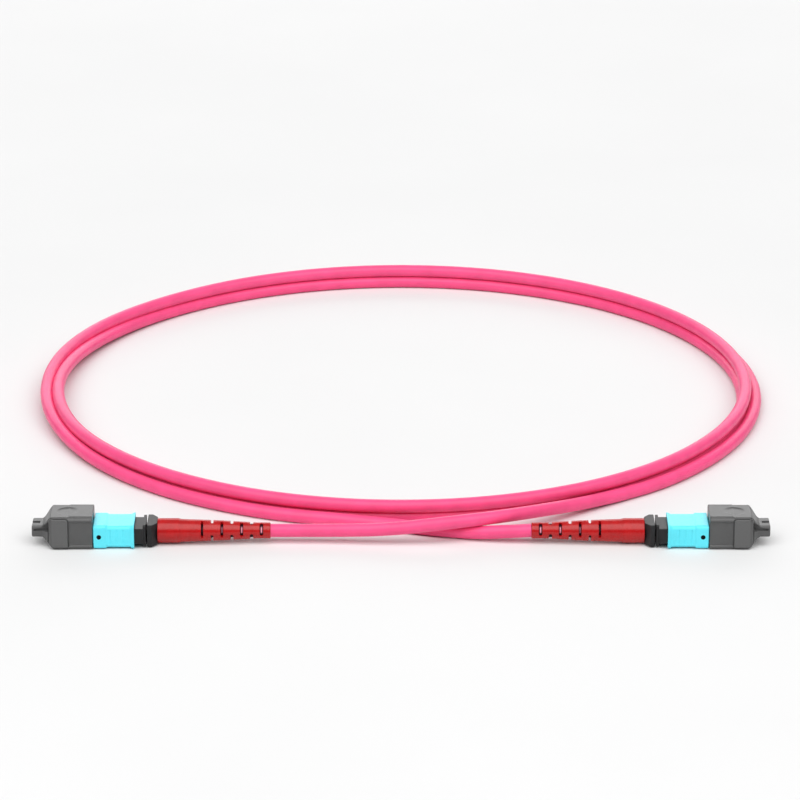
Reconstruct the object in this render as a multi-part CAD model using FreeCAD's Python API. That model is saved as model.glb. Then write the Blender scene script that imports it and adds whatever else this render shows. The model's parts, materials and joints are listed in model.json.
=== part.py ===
import FreeCAD, Part
import math
import os

from FreeCAD import Vector

# Fibre optic patch cable: a round cable in a flat coil of three turns, with a capped
# multi-fibre push-on plug on each end. Millimetres, +Z up. The origin lies on the floor,
# midway between the two plugs, which point along -X and +X. The coil lies towards +Y.

# Cable and coil
CABLE_DIA = 4.2
COIL_RADIUS = 118.0
COIL_OFFSET = 132.7
GROOVE_FILL = 0.5
TOP_LEAN_DEG = 80.0
LEFT_MERGE_DEG = 38.0
RIGHT_MERGE_DEG = 12.0
LEAD_TANGENT = 12.0
PLUG_HALF_SPAN = 40.6

# Clearances
SLIDE_GAP = 0.1
SEAT_GAP = 0.05

# Strain relief boot
BOOT_LENGTH = 35.1
BOOT_BASE_DIA = 7.7
BOOT_BASE_LENGTH = 6.4
BOOT_STEP = 0.25
BOOT_STEP_LENGTH = 0.9
BOOT_NECK_DIA = 6.3
BOOT_NECK_REACH = 15.5
BOOT_TIP_WALL = 0.3
BOOT_TIP_LENGTH = 4.2
SLOT_COUNT = 7
SLOT_FIRST = 2.8
SLOT_PITCH = 3.07
SLOT_TIP_WIDTH = 1.1
SLOT_BASE_WIDTH = 0.75
SLOT_SWEEP_DEG = 108.0
SLOT_ROLL_DEG = 30.0

# Crimp, strength yarn and the post they grip
POST_DIA = 3.9
CRIMP_LENGTH = 6.0
CRIMP_TAIL_LENGTH = 5.0
CRIMP_WALL = 0.45
YARN_THICKNESS = 0.45

# Collar and spring push
COLLAR_LENGTH = 3.1
COLLAR_STRAIGHT = 1.4
COLLAR_WIDTH = 9.9
COLLAR_HEIGHT = 7.0
COLLAR_TIP_WIDTH = 5.6
COLLAR_BEVEL = 0.35
COLLAR_SLIT = 0.45
FLANGE_THICKNESS = 0.85
FLANGE_CORNER = 0.7
PUSH_WIDTH = 10.6
PUSH_HEIGHT = 5.0
PUSH_REACH = 2.7
PUSH_CORNER = 0.4
PUSH_PLUG_LENGTH = 2.6

# Coupling sleeve
SLEEVE_LENGTH = 12.6
SLEEVE_WIDTH = 12.4
SLEEVE_HEIGHT = 7.6
SLEEVE_CORNER = 1.1
SLEEVE_RIM_RISE = 0.1
SLEEVE_RIM_LENGTH = 0.8
SLEEVE_WAIST_DROP = 0.3
SLEEVE_FRONT_LENGTH = 3.7
SLEEVE_BLEND = 0.6
SLEEVE_WALL = 0.75
SLEEVE_LIP_LENGTH = 3.1
SLEEVE_STROKE = 2.0
HOOK_SLOT_HEIGHT = 3.2
GRIP_COUNT = 3
GRIP_PITCH = 2.0
GRIP_WIDTH = 0.4
GRIP_DEPTH = 0.1
GRIP_HEIGHT = 5.2
GRIP_SHIFT = 0.5

# Inner housing
HOUSING_OVERLAP = 1.0
HOUSING_SHOULDER = 1.5
HOUSING_WAIST_WIDTH = 8.8
HOUSING_HEIGHT = 5.6
HOUSING_CORNER = 0.5
NOSE_WIDTH = 9.6
NOSE_REACH = 7.0
CAVITY_WIDTH = 7.4
CAVITY_HEIGHT = 4.2
KEY_WIDTH = 3.0
KEY_HEIGHT = 0.8
KEY_LENGTH = 5.0
KEY_SETBACK = 1.1
LATCH_SETBACK = 1.2
LATCH_LENGTH = 2.2
LATCH_DEPTH = 0.7

# Ferrule and what is behind it
FERRULE_LENGTH = 8.0
FERRULE_WIDTH = 6.4
FERRULE_HEIGHT = 2.5
FERRULE_PROUD = 0.6
FERRULE_FLANGE_LENGTH = 2.0
FERRULE_FLANGE_WIDTH = 7.0
FERRULE_FLANGE_HEIGHT = 3.2
GUIDE_HOLE_DIA = 0.7
GUIDE_HOLE_PITCH = 4.6
FERRULE_POCKET_DEPTH = 3.2
FERRULE_BOOT_WIDTH = 3.7
FERRULE_BOOT_HEIGHT = 1.6
FERRULE_BOOT_LENGTH = 5.0
CLAMP_LENGTH = 2.4
RIBBON_WIDTH = 3.1
RIBBON_THICKNESS = 0.3
RIBBON_SLACK = 1.5
FERRULE_SPRING_DIA = 4.0
FERRULE_SPRING_WIRE = 0.35
FERRULE_SPRING_TURNS = 4.0
SIDE_SPRING_WIRE = 0.3
SIDE_SPRING_HEIGHT = 4.4
SIDE_SPRING_LEGS = 7

# Dust cap
CAP_GAP = 0.3
CAP_WIDTH = 13.0
CAP_HEIGHT = 10.6
CAP_RISE = 1.275
CAP_CORNER = 1.5
CAP_STRAIGHT = 12.1
CAP_SHOULDER = 3.5
CAP_TAIL_LENGTH = 3.4
CAP_TAIL_WIDTH = 7.6
CAP_TAIL_HEIGHT = 3.7
CAP_TAIL_CORNER = 0.7
CAP_TAIL_DROP = 0.225
CAP_TAIL_GROOVE = 1.6
CAP_TAIL_GROOVE_DEPTH = 1.0
CAP_TAIL_GROOVE_LENGTH = 2.4
CAP_TAIL_SIDE_DEPTH = 0.7
CAP_TAIL_SIDE_LOW = 0.6
CAP_TAIL_SIDE_HIGH = 1.5
CAP_TAIL_END_WALL = 0.6
CAP_WEDGE_LENGTH = 1.7
CAP_WEDGE_HIGH = 3.2
CAP_DEPTH_SPARE = 1.0
CAP_PAD_START = 7.5
CAP_PAD_LENGTH = 5.8
CAP_PAD_HEIGHT = 9.4
CAP_PAD_RISE = 0.35
CAP_PAD_CORNER = 1.1
CAP_DISH_RADIUS = 8.2
CAP_DISH_DEPTH = 0.65
CAP_DISH_START = 8.1

# Share of the way from the cap's body to its tail, at shares of the shoulder's length
SHOULDER_STEPS = ((0.0, 0.0), (0.28, 0.12), (0.54, 0.36), (1.0, 1.0))

# Stations along a plug's own axis, outward from the mouth of its boot
BOOT_END = BOOT_LENGTH
COLLAR_END = BOOT_END + COLLAR_LENGTH
FLANGE_START = COLLAR_END + COLLAR_SLIT
PUSH_START = FLANGE_START + FLANGE_THICKNESS
SLEEVE_START = PUSH_START + PUSH_REACH
SLEEVE_END = SLEEVE_START + SLEEVE_LENGTH
HOUSING_START = SLEEVE_START + HOUSING_OVERLAP
SHOULDER_END = HOUSING_START + HOUSING_SHOULDER
LIP_START = SLEEVE_END - SLEEVE_LIP_LENGTH
NOSE_END = SLEEVE_END + NOSE_REACH
FERRULE_END = NOSE_END + FERRULE_PROUD
FERRULE_START = FERRULE_END - FERRULE_LENGTH
LEDGE = FERRULE_START + FERRULE_FLANGE_LENGTH + SEAT_GAP
CLAMP_START = FERRULE_START - SEAT_GAP - CLAMP_LENGTH
PLUG_END = HOUSING_START + PUSH_PLUG_LENGTH
CRIMP_END = BOOT_END - SEAT_GAP
POST_START = CRIMP_END - CRIMP_LENGTH
JACKET_END = POST_START - SEAT_GAP
CRIMP_START = POST_START - CRIMP_TAIL_LENGTH
CAP_START = SLEEVE_END + CAP_GAP
CAP_TAIL_START = CAP_START + CAP_STRAIGHT + CAP_SHOULDER
CAP_END = CAP_TAIL_START + CAP_TAIL_LENGTH

# Sizes that follow from the fits
PLUG_AXIS_Z = CAP_HEIGHT / 2 - CAP_RISE
CABLE_BORE_DIA = CABLE_DIA + 2 * SLIDE_GAP
BOOT_TIP_DIA = CABLE_BORE_DIA + 2 * BOOT_TIP_WALL
YARN_DIA = POST_DIA + 2 * SEAT_GAP + 2 * YARN_THICKNESS
CRIMP_DIA = YARN_DIA + 2 * SEAT_GAP + 2 * CRIMP_WALL
CRIMP_TAIL_DIA = CABLE_DIA + 2 * SEAT_GAP + 2 * CRIMP_WALL
SLEEVE_BORE_WIDTH = SLEEVE_WIDTH - 2 * SLEEVE_WALL
SLEEVE_BORE_HEIGHT = HOUSING_HEIGHT + 2 * SLIDE_GAP
SIDE_SPRING_WIDTH = (SLEEVE_BORE_WIDTH - HOUSING_WAIST_WIDTH) / 2 - 3 * SLIDE_GAP
SLOT_WIDTH = RIBBON_WIDTH + 2 * SLIDE_GAP
SLOT_HEIGHT = RIBBON_THICKNESS + 4 * SLIDE_GAP

AXIS = Vector(1, 0, 0)
UP = Vector(0, 0, 1)


def section(x, width, height, corner, rise=0.0):
    """A rectangle with round corners, across the plug's axis at x."""
    y = width / 2 - corner
    z = height / 2 - corner
    edges = []
    for turn, (side_y, side_z) in enumerate(((1, 1), (-1, 1), (-1, -1), (1, -1))):
        centre = Vector(x, side_y * y, rise + side_z * z)
        ends = []
        for step in (0, 45, 90):
            angle = math.radians(90 * turn + step)
            ends.append(centre + Vector(0, math.cos(angle), math.sin(angle)) * corner)
        if edges:
            edges.append(Part.LineSegment(last, ends[0]).toShape())
        else:
            first = ends[0]
        edges.append(Part.Arc(*ends).toShape())
        last = ends[2]
    edges.append(Part.LineSegment(last, first).toShape())
    return Part.Wire(edges)


def bar(start, end, width, height, corner, rise=0.0):
    """A bar with round long edges, from start to end along the plug's axis."""
    face = Part.Face(section(start, width, height, corner, rise))
    return face.extrude(AXIS * (end - start))


def box(start, end, width, height, y=0.0, z=0.0):
    """A square bar whose section is centred on y and z."""
    corner = Vector(start, y - width / 2, z - height / 2)
    return Part.makeBox(end - start, width, height, corner)


def rod(start, end, diameter, y=0.0):
    """A round rod along the plug's axis."""
    return Part.makeCylinder(diameter / 2, end - start, Vector(start, y, 0), AXIS)


def sleeve_of(start, end, inner, outer):
    """A round tube along the plug's axis."""
    return rod(start, end, outer).cut(rod(start, end, inner))


def loft(sections):
    """Straight walls through a row of sections, closed at both ends."""
    return Part.makeLoft(sections, True, True)


def strain_relief_boot(roll):
    """A tapered boot, cut by slots that alternate a quarter turn to let it bend."""
    tip = BOOT_TIP_DIA / 2
    base_start = BOOT_LENGTH - BOOT_BASE_LENGTH
    outline = [
        (0.0, CABLE_BORE_DIA / 2),
        (0.0, tip),
        (BOOT_TIP_LENGTH, tip),
        (BOOT_NECK_REACH, BOOT_NECK_DIA / 2),
        (base_start - BOOT_STEP_LENGTH, BOOT_BASE_DIA / 2 - BOOT_STEP),
        (base_start, BOOT_BASE_DIA / 2),
        (BOOT_LENGTH, BOOT_BASE_DIA / 2),
        (BOOT_LENGTH, CRIMP_DIA / 2 + SLIDE_GAP),
        (POST_START - SLIDE_GAP, CRIMP_DIA / 2 + SLIDE_GAP),
        (POST_START - SLIDE_GAP, CRIMP_TAIL_DIA / 2 + SLIDE_GAP),
        (CRIMP_START - SLIDE_GAP, CRIMP_TAIL_DIA / 2 + SLIDE_GAP),
        (CRIMP_START - SLIDE_GAP, CABLE_BORE_DIA / 2),
    ]
    points = [Vector(x, 0, radius) for x, radius in outline]
    face = Part.Face(Part.makePolygon(points + points[:1]))
    boot = face.revolve(Vector(), AXIS, 360)
    cuts = []
    for number in range(SLOT_COUNT):
        share = number / (SLOT_COUNT - 1)
        width = SLOT_TIP_WIDTH + (SLOT_BASE_WIDTH - SLOT_TIP_WIDTH) * share
        middle = SLOT_FIRST + SLOT_PITCH * number
        for half_turn in (0, 180):
            angle = roll + 90 * (number % 2) + half_turn
            cuts.append(wedge(middle - width / 2, width, angle))
    return boot.cut(Part.makeCompound(cuts))


def wedge(start, width, middle_deg):
    """A slice of pie across the axis that reaches past the boot's wall."""
    reach = BOOT_BASE_DIA
    steps = (-0.5, -0.25, 0.0, 0.25, 0.5)
    points = [Vector(start, 0, 0)]
    for step in steps:
        angle = math.radians(middle_deg + SLOT_SWEEP_DEG * step)
        points.append(Vector(start, math.cos(angle) * reach, math.sin(angle) * reach))
    return Part.Face(Part.makePolygon(points + points[:1])).extrude(AXIS * width)


def jacket_end():
    """The last of the cable's jacket, held inside the boot."""
    return rod(0, JACKET_END, CABLE_DIA)


def crimp_ring():
    """A stepped metal ring: the barrel grips the yarn, the tail grips the jacket."""
    barrel = rod(POST_START, CRIMP_END, CRIMP_DIA)
    tail = rod(CRIMP_START, POST_START, CRIMP_TAIL_DIA)
    bore = rod(POST_START, CRIMP_END, YARN_DIA + 2 * SEAT_GAP)
    tail_bore = rod(CRIMP_START, POST_START, CABLE_DIA + 2 * SEAT_GAP)
    return barrel.fuse(tail).cut(bore.fuse(tail_bore)).removeSplitter()


def strength_yarn():
    """The cable's yarn, folded back over the post under the crimp."""
    return sleeve_of(POST_START, CRIMP_END, POST_DIA + 2 * SEAT_GAP, YARN_DIA)


def boot_collar():
    """A block on the push's neck, narrowed towards the boot in plan."""
    knee = COLLAR_END - COLLAR_STRAIGHT
    half = COLLAR_WIDTH / 2
    tip = COLLAR_TIP_WIDTH / 2
    plan = [(COLLAR_END, half), (knee, half), (BOOT_END, tip)]
    plan += [(x, -y) for x, y in reversed(plan)]
    points = [Vector(x, y, -COLLAR_HEIGHT / 2) for x, y in plan]
    block = Part.Face(Part.makePolygon(points + points[:1])).extrude(UP * COLLAR_HEIGHT)
    rims = [e for e in block.Edges if abs(e.tangentAt(e.FirstParameter).z) < 0.5]
    block = block.makeChamfer(COLLAR_BEVEL, rims)
    return block.cut(rod(BOOT_END - 1, COLLAR_END + 1, POST_DIA + 2 * SEAT_GAP))


def spring_push():
    """The rear body: a post for the crimp, a flange, a block and a plug for the housing."""
    neck = rod(POST_START, FLANGE_START, POST_DIA)
    flange = bar(FLANGE_START, PUSH_START, COLLAR_WIDTH, COLLAR_HEIGHT, FLANGE_CORNER)
    block = bar(PUSH_START, HOUSING_START - SEAT_GAP, PUSH_WIDTH, PUSH_HEIGHT, PUSH_CORNER)
    plug_width = CAVITY_WIDTH - 2 * SLIDE_GAP
    plug_height = CAVITY_HEIGHT - 2 * SLIDE_GAP
    plug = bar(HOUSING_START - SEAT_GAP, PLUG_END, plug_width, plug_height, PUSH_CORNER)
    slot = box(POST_START, PLUG_END, SLOT_WIDTH, SLOT_HEIGHT)
    return neck.multiFuse([flange, block, plug]).cut(slot)


def coupling_sleeve():
    """The sliding grip: a waisted shell with ribbed sides and a flared rear rim."""
    waist_width = SLEEVE_WIDTH - 2 * SLEEVE_WAIST_DROP
    waist_height = SLEEVE_HEIGHT - 2 * SLEEVE_WAIST_DROP
    rim_width = SLEEVE_WIDTH + 2 * SLEEVE_RIM_RISE
    rim_height = SLEEVE_HEIGHT + 2 * SLEEVE_RIM_RISE
    rim_end = SLEEVE_START + SLEEVE_RIM_LENGTH
    front_start = SLEEVE_END - SLEEVE_FRONT_LENGTH
    shell = loft([
        section(SLEEVE_START, rim_width, rim_height, SLEEVE_CORNER),
        section(rim_end, rim_width, rim_height, SLEEVE_CORNER),
        section(rim_end + SLEEVE_BLEND, waist_width, waist_height, SLEEVE_CORNER),
        section(front_start - SLEEVE_BLEND, waist_width, waist_height, SLEEVE_CORNER),
        section(front_start, SLEEVE_WIDTH, SLEEVE_HEIGHT, SLEEVE_CORNER),
        section(SLEEVE_END, SLEEVE_WIDTH, SLEEVE_HEIGHT, SLEEVE_CORNER),
    ])
    lip_width = NOSE_WIDTH + 2 * SLIDE_GAP
    hollows = [
        box(SLEEVE_START, LIP_START, SLEEVE_BORE_WIDTH, SLEEVE_BORE_HEIGHT),
        box(LIP_START, SLEEVE_END, lip_width, SLEEVE_BORE_HEIGHT),
        box(LIP_START, SLEEVE_END, SLEEVE_BORE_WIDTH, HOOK_SLOT_HEIGHT),
    ]
    grip_middle = (rim_end + front_start) / 2 + GRIP_SHIFT
    for number in range(GRIP_COUNT):
        middle = grip_middle + GRIP_PITCH * (number - (GRIP_COUNT - 1) / 2)
        for side in (-1, 1):
            face_y = side * waist_width / 2
            groove = box(middle - GRIP_WIDTH / 2, middle + GRIP_WIDTH / 2,
                         2 * GRIP_DEPTH, GRIP_HEIGHT, face_y)
            hollows.append(groove)
    return shell.cut(Part.makeCompound(hollows))


def coupling_springs():
    """A pair of flat serpentine springs, one in each side pocket of the housing."""
    start = SHOULDER_END + SEAT_GAP
    end = LIP_START - SEAT_GAP
    step = (end - start - SIDE_SPRING_WIRE) / (SIDE_SPRING_LEGS - 1)
    pocket_middle = (HOUSING_WAIST_WIDTH + SLEEVE_BORE_WIDTH) / 4
    tie_height = (SIDE_SPRING_HEIGHT - SIDE_SPRING_WIRE) / 2
    springs = []
    for side in (-1, 1):
        y = side * pocket_middle
        pieces = []
        for number in range(SIDE_SPRING_LEGS):
            x = start + step * number
            leg_end = x + SIDE_SPRING_WIRE
            pieces.append(box(x, leg_end, SIDE_SPRING_WIDTH, SIDE_SPRING_HEIGHT, y))
            if number < SIDE_SPRING_LEGS - 1:
                z = tie_height * (-1) ** number
                pieces.append(box(x, leg_end + step, SIDE_SPRING_WIDTH, SIDE_SPRING_WIRE, y, z))
        springs.append(pieces[0].multiFuse(pieces[1:]).removeSplitter())
    return Part.makeCompound(springs)


def inner_housing():
    """The housing that carries the ferrule, with a keyed nose and latch notches."""
    shoulder_width = SLEEVE_BORE_WIDTH - 2 * SLIDE_GAP
    shoulder = bar(HOUSING_START, SHOULDER_END, shoulder_width, HOUSING_HEIGHT, HOUSING_CORNER)
    waist = bar(SHOULDER_END, LIP_START, HOUSING_WAIST_WIDTH, HOUSING_HEIGHT, HOUSING_CORNER)
    nose = bar(LIP_START, NOSE_END, NOSE_WIDTH, HOUSING_HEIGHT, HOUSING_CORNER)
    key_end = NOSE_END - KEY_SETBACK
    key_base = HOUSING_HEIGHT / 2 - HOUSING_CORNER
    key_top = HOUSING_HEIGHT / 2 + KEY_HEIGHT
    key = box(key_end - KEY_LENGTH, key_end, KEY_WIDTH, key_top - key_base, 0,
              (key_top + key_base) / 2)
    window_width = FERRULE_WIDTH + 2 * SLIDE_GAP
    window_height = FERRULE_HEIGHT + 2 * SLIDE_GAP
    latch_start = SLEEVE_END + LATCH_SETBACK
    hollows = [
        box(HOUSING_START, LEDGE, CAVITY_WIDTH, CAVITY_HEIGHT),
        box(LEDGE, NOSE_END, window_width, window_height),
    ]
    for side in (-1, 1):
        hollows.append(box(latch_start, latch_start + LATCH_LENGTH, 2 * LATCH_DEPTH,
                           HOOK_SLOT_HEIGHT, side * NOSE_WIDTH / 2))
    return shoulder.multiFuse([waist, nose, key]).cut(Part.makeCompound(hollows))


def ferrule():
    """The rectangular ferrule: a rear flange, two guide holes and a pocket for its boot."""
    body = box(FERRULE_START, FERRULE_END, FERRULE_WIDTH, FERRULE_HEIGHT)
    flange = box(FERRULE_START, FERRULE_START + FERRULE_FLANGE_LENGTH,
                 FERRULE_FLANGE_WIDTH, FERRULE_FLANGE_HEIGHT)
    pocket = box(FERRULE_START, FERRULE_START + FERRULE_POCKET_DEPTH,
                 FERRULE_BOOT_WIDTH + 2 * SEAT_GAP, FERRULE_BOOT_HEIGHT + 2 * SEAT_GAP)
    cuts = [pocket]
    for side in (-1, 1):
        cuts.append(rod(FERRULE_START, FERRULE_END, GUIDE_HOLE_DIA, side * GUIDE_HOLE_PITCH / 2))
    return body.fuse(flange).cut(Part.makeCompound(cuts)).removeSplitter()


def ferrule_boot():
    """The rubber boot that guides the ribbon into the back of the ferrule."""
    end = FERRULE_START + FERRULE_POCKET_DEPTH - SEAT_GAP
    start = end - FERRULE_BOOT_LENGTH
    block = box(start, end, FERRULE_BOOT_WIDTH, FERRULE_BOOT_HEIGHT)
    return block.cut(box(start, end, RIBBON_WIDTH + SEAT_GAP, RIBBON_THICKNESS + SEAT_GAP))


def pin_clamp():
    """The plate behind the ferrule that the spring bears on."""
    end = CLAMP_START + CLAMP_LENGTH
    plate = box(CLAMP_START, end, FERRULE_FLANGE_WIDTH, FERRULE_FLANGE_HEIGHT)
    window = box(CLAMP_START, end, FERRULE_BOOT_WIDTH + 2 * SEAT_GAP,
                 FERRULE_BOOT_HEIGHT + 2 * SEAT_GAP)
    return plate.cut(window)


def fibre_ribbon():
    """The flat ribbon of fibres from the cable's end to the ferrule."""
    start = POST_START + RIBBON_SLACK
    end = FERRULE_START + FERRULE_POCKET_DEPTH - SEAT_GAP
    return box(start, end, RIBBON_WIDTH, RIBBON_THICKNESS)


def ferrule_spring():
    """A coil spring of square wire between the spring push and the pin clamp."""
    start = PLUG_END + SEAT_GAP
    length = CLAMP_START - SEAT_GAP - start
    half = FERRULE_SPRING_WIRE / 2
    middle = FERRULE_SPRING_DIA / 2 - half
    pitch = (length - FERRULE_SPRING_WIRE) / FERRULE_SPRING_TURNS
    helix = Part.makeHelix(pitch, pitch * FERRULE_SPRING_TURNS, middle)
    corners = [(-half, -half), (half, -half), (half, half), (-half, half)]
    points = [Vector(middle + x, 0, z) for x, z in corners]
    wire = Part.makePolygon(points + points[:1])
    coil = Part.Wire(helix).makePipeShell([wire], True, True)
    coil.rotate(Vector(), Vector(0, 1, 0), 90)
    coil.translate(AXIS * (start + half))
    return coil


def cap_section(distance, share):
    """The cap's outline, part of the way from its body to its tail."""
    width = CAP_WIDTH + (CAP_TAIL_WIDTH - CAP_WIDTH) * share
    height = CAP_HEIGHT + (CAP_TAIL_HEIGHT - CAP_HEIGHT) * share
    corner = CAP_CORNER + (CAP_TAIL_CORNER - CAP_CORNER) * share
    return section(CAP_START + distance, width, height, corner, CAP_RISE - CAP_TAIL_DROP * share)


def dust_cap():
    """The pull-off cap: a socket for the nose, grip pads, thumb dishes and a grooved tail."""
    sections = [cap_section(0.0, 0.0)]
    for along, share in SHOULDER_STEPS:
        sections.append(cap_section(CAP_STRAIGHT + CAP_SHOULDER * along, share))
    sections.append(cap_section(CAP_STRAIGHT + CAP_SHOULDER + CAP_TAIL_LENGTH, 1.0))
    body = loft(sections)
    pad_start = CAP_START + CAP_PAD_START
    pad_face = Part.Face(section(0, CAP_PAD_LENGTH, CAP_PAD_HEIGHT, CAP_PAD_CORNER))
    pads = []
    for side in (-1, 1):
        pad = pad_face.extrude(AXIS * (CAP_PAD_RISE + CAP_CORNER))
        pad.rotate(Vector(), UP, 90 * side)
        pad_y = side * (CAP_WIDTH / 2 - CAP_CORNER)
        pad.translate(Vector(pad_start + CAP_PAD_LENGTH / 2, pad_y, CAP_RISE))
        pads.append(pad)
    cap = body.multiFuse(pads)
    return cap.cut(Part.makeCompound(cap_socket() + cap_dishes() + cap_grooves()))


def cap_socket():
    """The socket that fits the plug's nose, with a way for its key."""
    end = FERRULE_END + CAP_DEPTH_SPARE
    room = 2 * SLIDE_GAP
    nose = box(CAP_START, end, NOSE_WIDTH + room, HOUSING_HEIGHT + room)
    key_end = NOSE_END - KEY_SETBACK + SLIDE_GAP
    key_top = HOUSING_HEIGHT / 2 + KEY_HEIGHT + SLIDE_GAP
    key = box(CAP_START, key_end, KEY_WIDTH + room, key_top, 0, key_top / 2)
    return [nose, key]


def cap_dishes():
    """A round thumb dish in the top and one in the underside."""
    dishes = []
    for side in (-1, 1):
        reach = CAP_HEIGHT / 2 + CAP_DISH_RADIUS - CAP_DISH_DEPTH
        middle = Vector(CAP_START + CAP_DISH_START, 0, CAP_RISE + side * reach)
        dishes.append(Part.makeSphere(CAP_DISH_RADIUS, middle))
    return dishes


def cap_grooves():
    """Grooves in the tail: one in the top, one underneath, and one on each side that opens into a
    wedge in the shoulder."""
    middle = CAP_RISE - CAP_TAIL_DROP
    grooves = []
    for side in (-1, 1):
        grooves.append(box(CAP_END - CAP_TAIL_GROOVE_LENGTH, CAP_END, CAP_TAIL_GROOVE,
                           2 * CAP_TAIL_GROOVE_DEPTH, 0, middle + side * CAP_TAIL_HEIGHT / 2))
    inner = CAP_TAIL_WIDTH / 2 - CAP_TAIL_SIDE_DEPTH
    wedge_start = CAP_TAIL_START - CAP_WEDGE_LENGTH
    outline = [
        (wedge_start, CAP_TAIL_SIDE_LOW),
        (CAP_END - CAP_TAIL_END_WALL, CAP_TAIL_SIDE_LOW),
        (CAP_END - CAP_TAIL_END_WALL, CAP_TAIL_SIDE_HIGH),
        (CAP_TAIL_START, CAP_TAIL_SIDE_HIGH),
        (wedge_start, CAP_WEDGE_HIGH),
    ]
    for y, reach in ((inner, CAP_WIDTH), (-inner, -CAP_WIDTH)):
        points = [Vector(x, y, middle + level) for x, level in outline]
        face = Part.Face(Part.makePolygon(points + points[:1]))
        grooves.append(face.extrude(Vector(0, reach, 0)))
    return grooves


def strand_places():
    """Radius and height of the three strands of the coil: outer, inner and top."""
    low = CABLE_DIA / 2
    lean = math.radians(TOP_LEAN_DEG)
    outer = (COIL_RADIUS + CABLE_DIA / 2, low)
    inner = (COIL_RADIUS - CABLE_DIA / 2, low)
    top = (inner[0] + CABLE_DIA * math.cos(lean), low + CABLE_DIA * math.sin(lean))
    return outer, inner, top


def grown(places):
    """The same corners, each moved out from their middle to fill the grooves a little."""
    middle_x = sum(x for x, z in places) / len(places)
    middle_z = sum(z for x, z in places) / len(places)
    inradius = CABLE_DIA / (2 * math.sqrt(3))
    factor = (inradius + GROOVE_FILL) / inradius
    points = []
    for x, z in places:
        points.append(Vector(middle_x + (x - middle_x) * factor, 0,
                             middle_z + (z - middle_z) * factor))
    return points


def round_the_coil(faces, start_deg, sweep_deg):
    """One solid from faces in a radial plane, turned about the coil's own axis."""
    profile = faces[0].multiFuse(faces[1:]).removeSplitter()
    profile.rotate(Vector(), UP, start_deg)
    return profile.revolve(Vector(), UP, sweep_deg)


def cable_coil():
    """The outer shape of the turns: two full strands, and an outer one open at the front."""
    outer, inner, top = strand_places()
    discs = []
    for x, z in (outer, inner, top):
        circle = Part.makeCircle(CABLE_DIA / 2, Vector(x, 0, z), Vector(0, 1, 0))
        discs.append(Part.Face(Part.Wire(circle)))
    web = grown((outer, inner, top))
    core = Part.Face(Part.makePolygon(web + web[:1]))
    across = Vector(inner[0] - top[0], 0, inner[1] - top[1]).normalize()
    side = Vector(-across.z, 0, across.x) * GROOVE_FILL
    ends = [Vector(x, 0, z) for x, z in (inner, top)]
    strip = [ends[0] - side, ends[1] - side, ends[1] + side, ends[0] + side]
    bridge = Part.Face(Part.makePolygon(strip + strip[:1]))
    open_deg = LEFT_MERGE_DEG + RIGHT_MERGE_DEG
    bundle = round_the_coil(discs + [core], LEFT_MERGE_DEG - 90, 360 - open_deg)
    front = round_the_coil(discs[1:] + [bridge], -RIGHT_MERGE_DEG - 90, open_deg)
    coil = bundle.fuse(front).removeSplitter()
    coil.translate(Vector(0, COIL_OFFSET, 0))
    return coil


def merge_points(side, degrees):
    """Where a lead runs into the coil's outer strand, along the strand's tangent."""
    angle = math.radians(degrees)
    (radius, height), _, _ = strand_places()
    end = Vector(side * radius * math.sin(angle), COIL_OFFSET - radius * math.cos(angle), height)
    tangent = Vector(side * math.cos(angle), math.sin(angle), 0)
    return [end - tangent * LEAD_TANGENT, end]


def lead_route(lead):
    """The hand-chosen route of a lead, from its boot to the coil."""
    if lead == "left":
        side = -1
        chosen = [(-24.0, 0.0, PLUG_AXIS_Z), (-4.0, -1.6, 4.9), (13.0, -1.3, 6.9), (33.0, 4.8, 6.9)]
        merge = merge_points(1, LEFT_MERGE_DEG)
    else:
        side = 1
        chosen = [(33.0, 0.0, 3.6), (20.0, 2.6, 2.1)]
        merge = merge_points(-1, RIGHT_MERGE_DEG)
    start = Vector(side * PLUG_HALF_SPAN, 0, PLUG_AXIS_Z)
    return [start] + [Vector(*point) for point in chosen] + merge


def tube(name, points, diameter):
    """A round tube along straight runs joined by tangent arcs as large as the runs allow."""
    edges = []
    radii = []
    last = points[0]
    for before, corner, after in zip(points, points[1:], points[2:]):
        back = before - corner
        ahead = after - corner
        setback = 0.45 * min(back.Length, ahead.Length)
        turn = math.pi - back.getAngle(ahead)
        radius = setback / math.tan(turn / 2)
        back.normalize()
        ahead.normalize()
        middle = (back + ahead).normalize()
        to_arc = radius / math.cos(turn / 2) - radius
        arc_start = corner + back * setback
        arc_end = corner + ahead * setback
        edges.append(Part.LineSegment(last, arc_start).toShape())
        edges.append(Part.Arc(arc_start, corner + middle * to_arc, arc_end).toShape())
        radii.append(round(radius, 1))
        last = arc_end
    edges.append(Part.LineSegment(last, points[-1]).toShape())
    path = Part.Wire(edges)
    circle = Part.makeCircle(diameter / 2, points[0], points[1] - points[0])
    solid = path.makePipeShell([Part.Wire(circle)], True, True)
    plain = math.pi * diameter ** 2 / 4 * path.Length
    print(name, "length", round(path.Length, 1), "radii", radii,
          "volume over section times length", round(solid.Volume / plain, 4))
    return solid


def plug_pieces(roll):
    """Every piece of one plug, on the plug's own axis."""
    return {
        "strain_relief_boot": strain_relief_boot(roll),
        "jacket_end": jacket_end(),
        "crimp_ring": crimp_ring(),
        "strength_yarn": strength_yarn(),
        "boot_collar": boot_collar(),
        "spring_push": spring_push(),
        "coupling_sleeve": coupling_sleeve(),
        "coupling_springs": coupling_springs(),
        "inner_housing": inner_housing(),
        "ferrule": ferrule(),
        "ferrule_boot": ferrule_boot(),
        "pin_clamp": pin_clamp(),
        "fibre_ribbon": fibre_ribbon(),
        "ferrule_spring": ferrule_spring(),
        "dust_cap": dust_cap(),
    }


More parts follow.
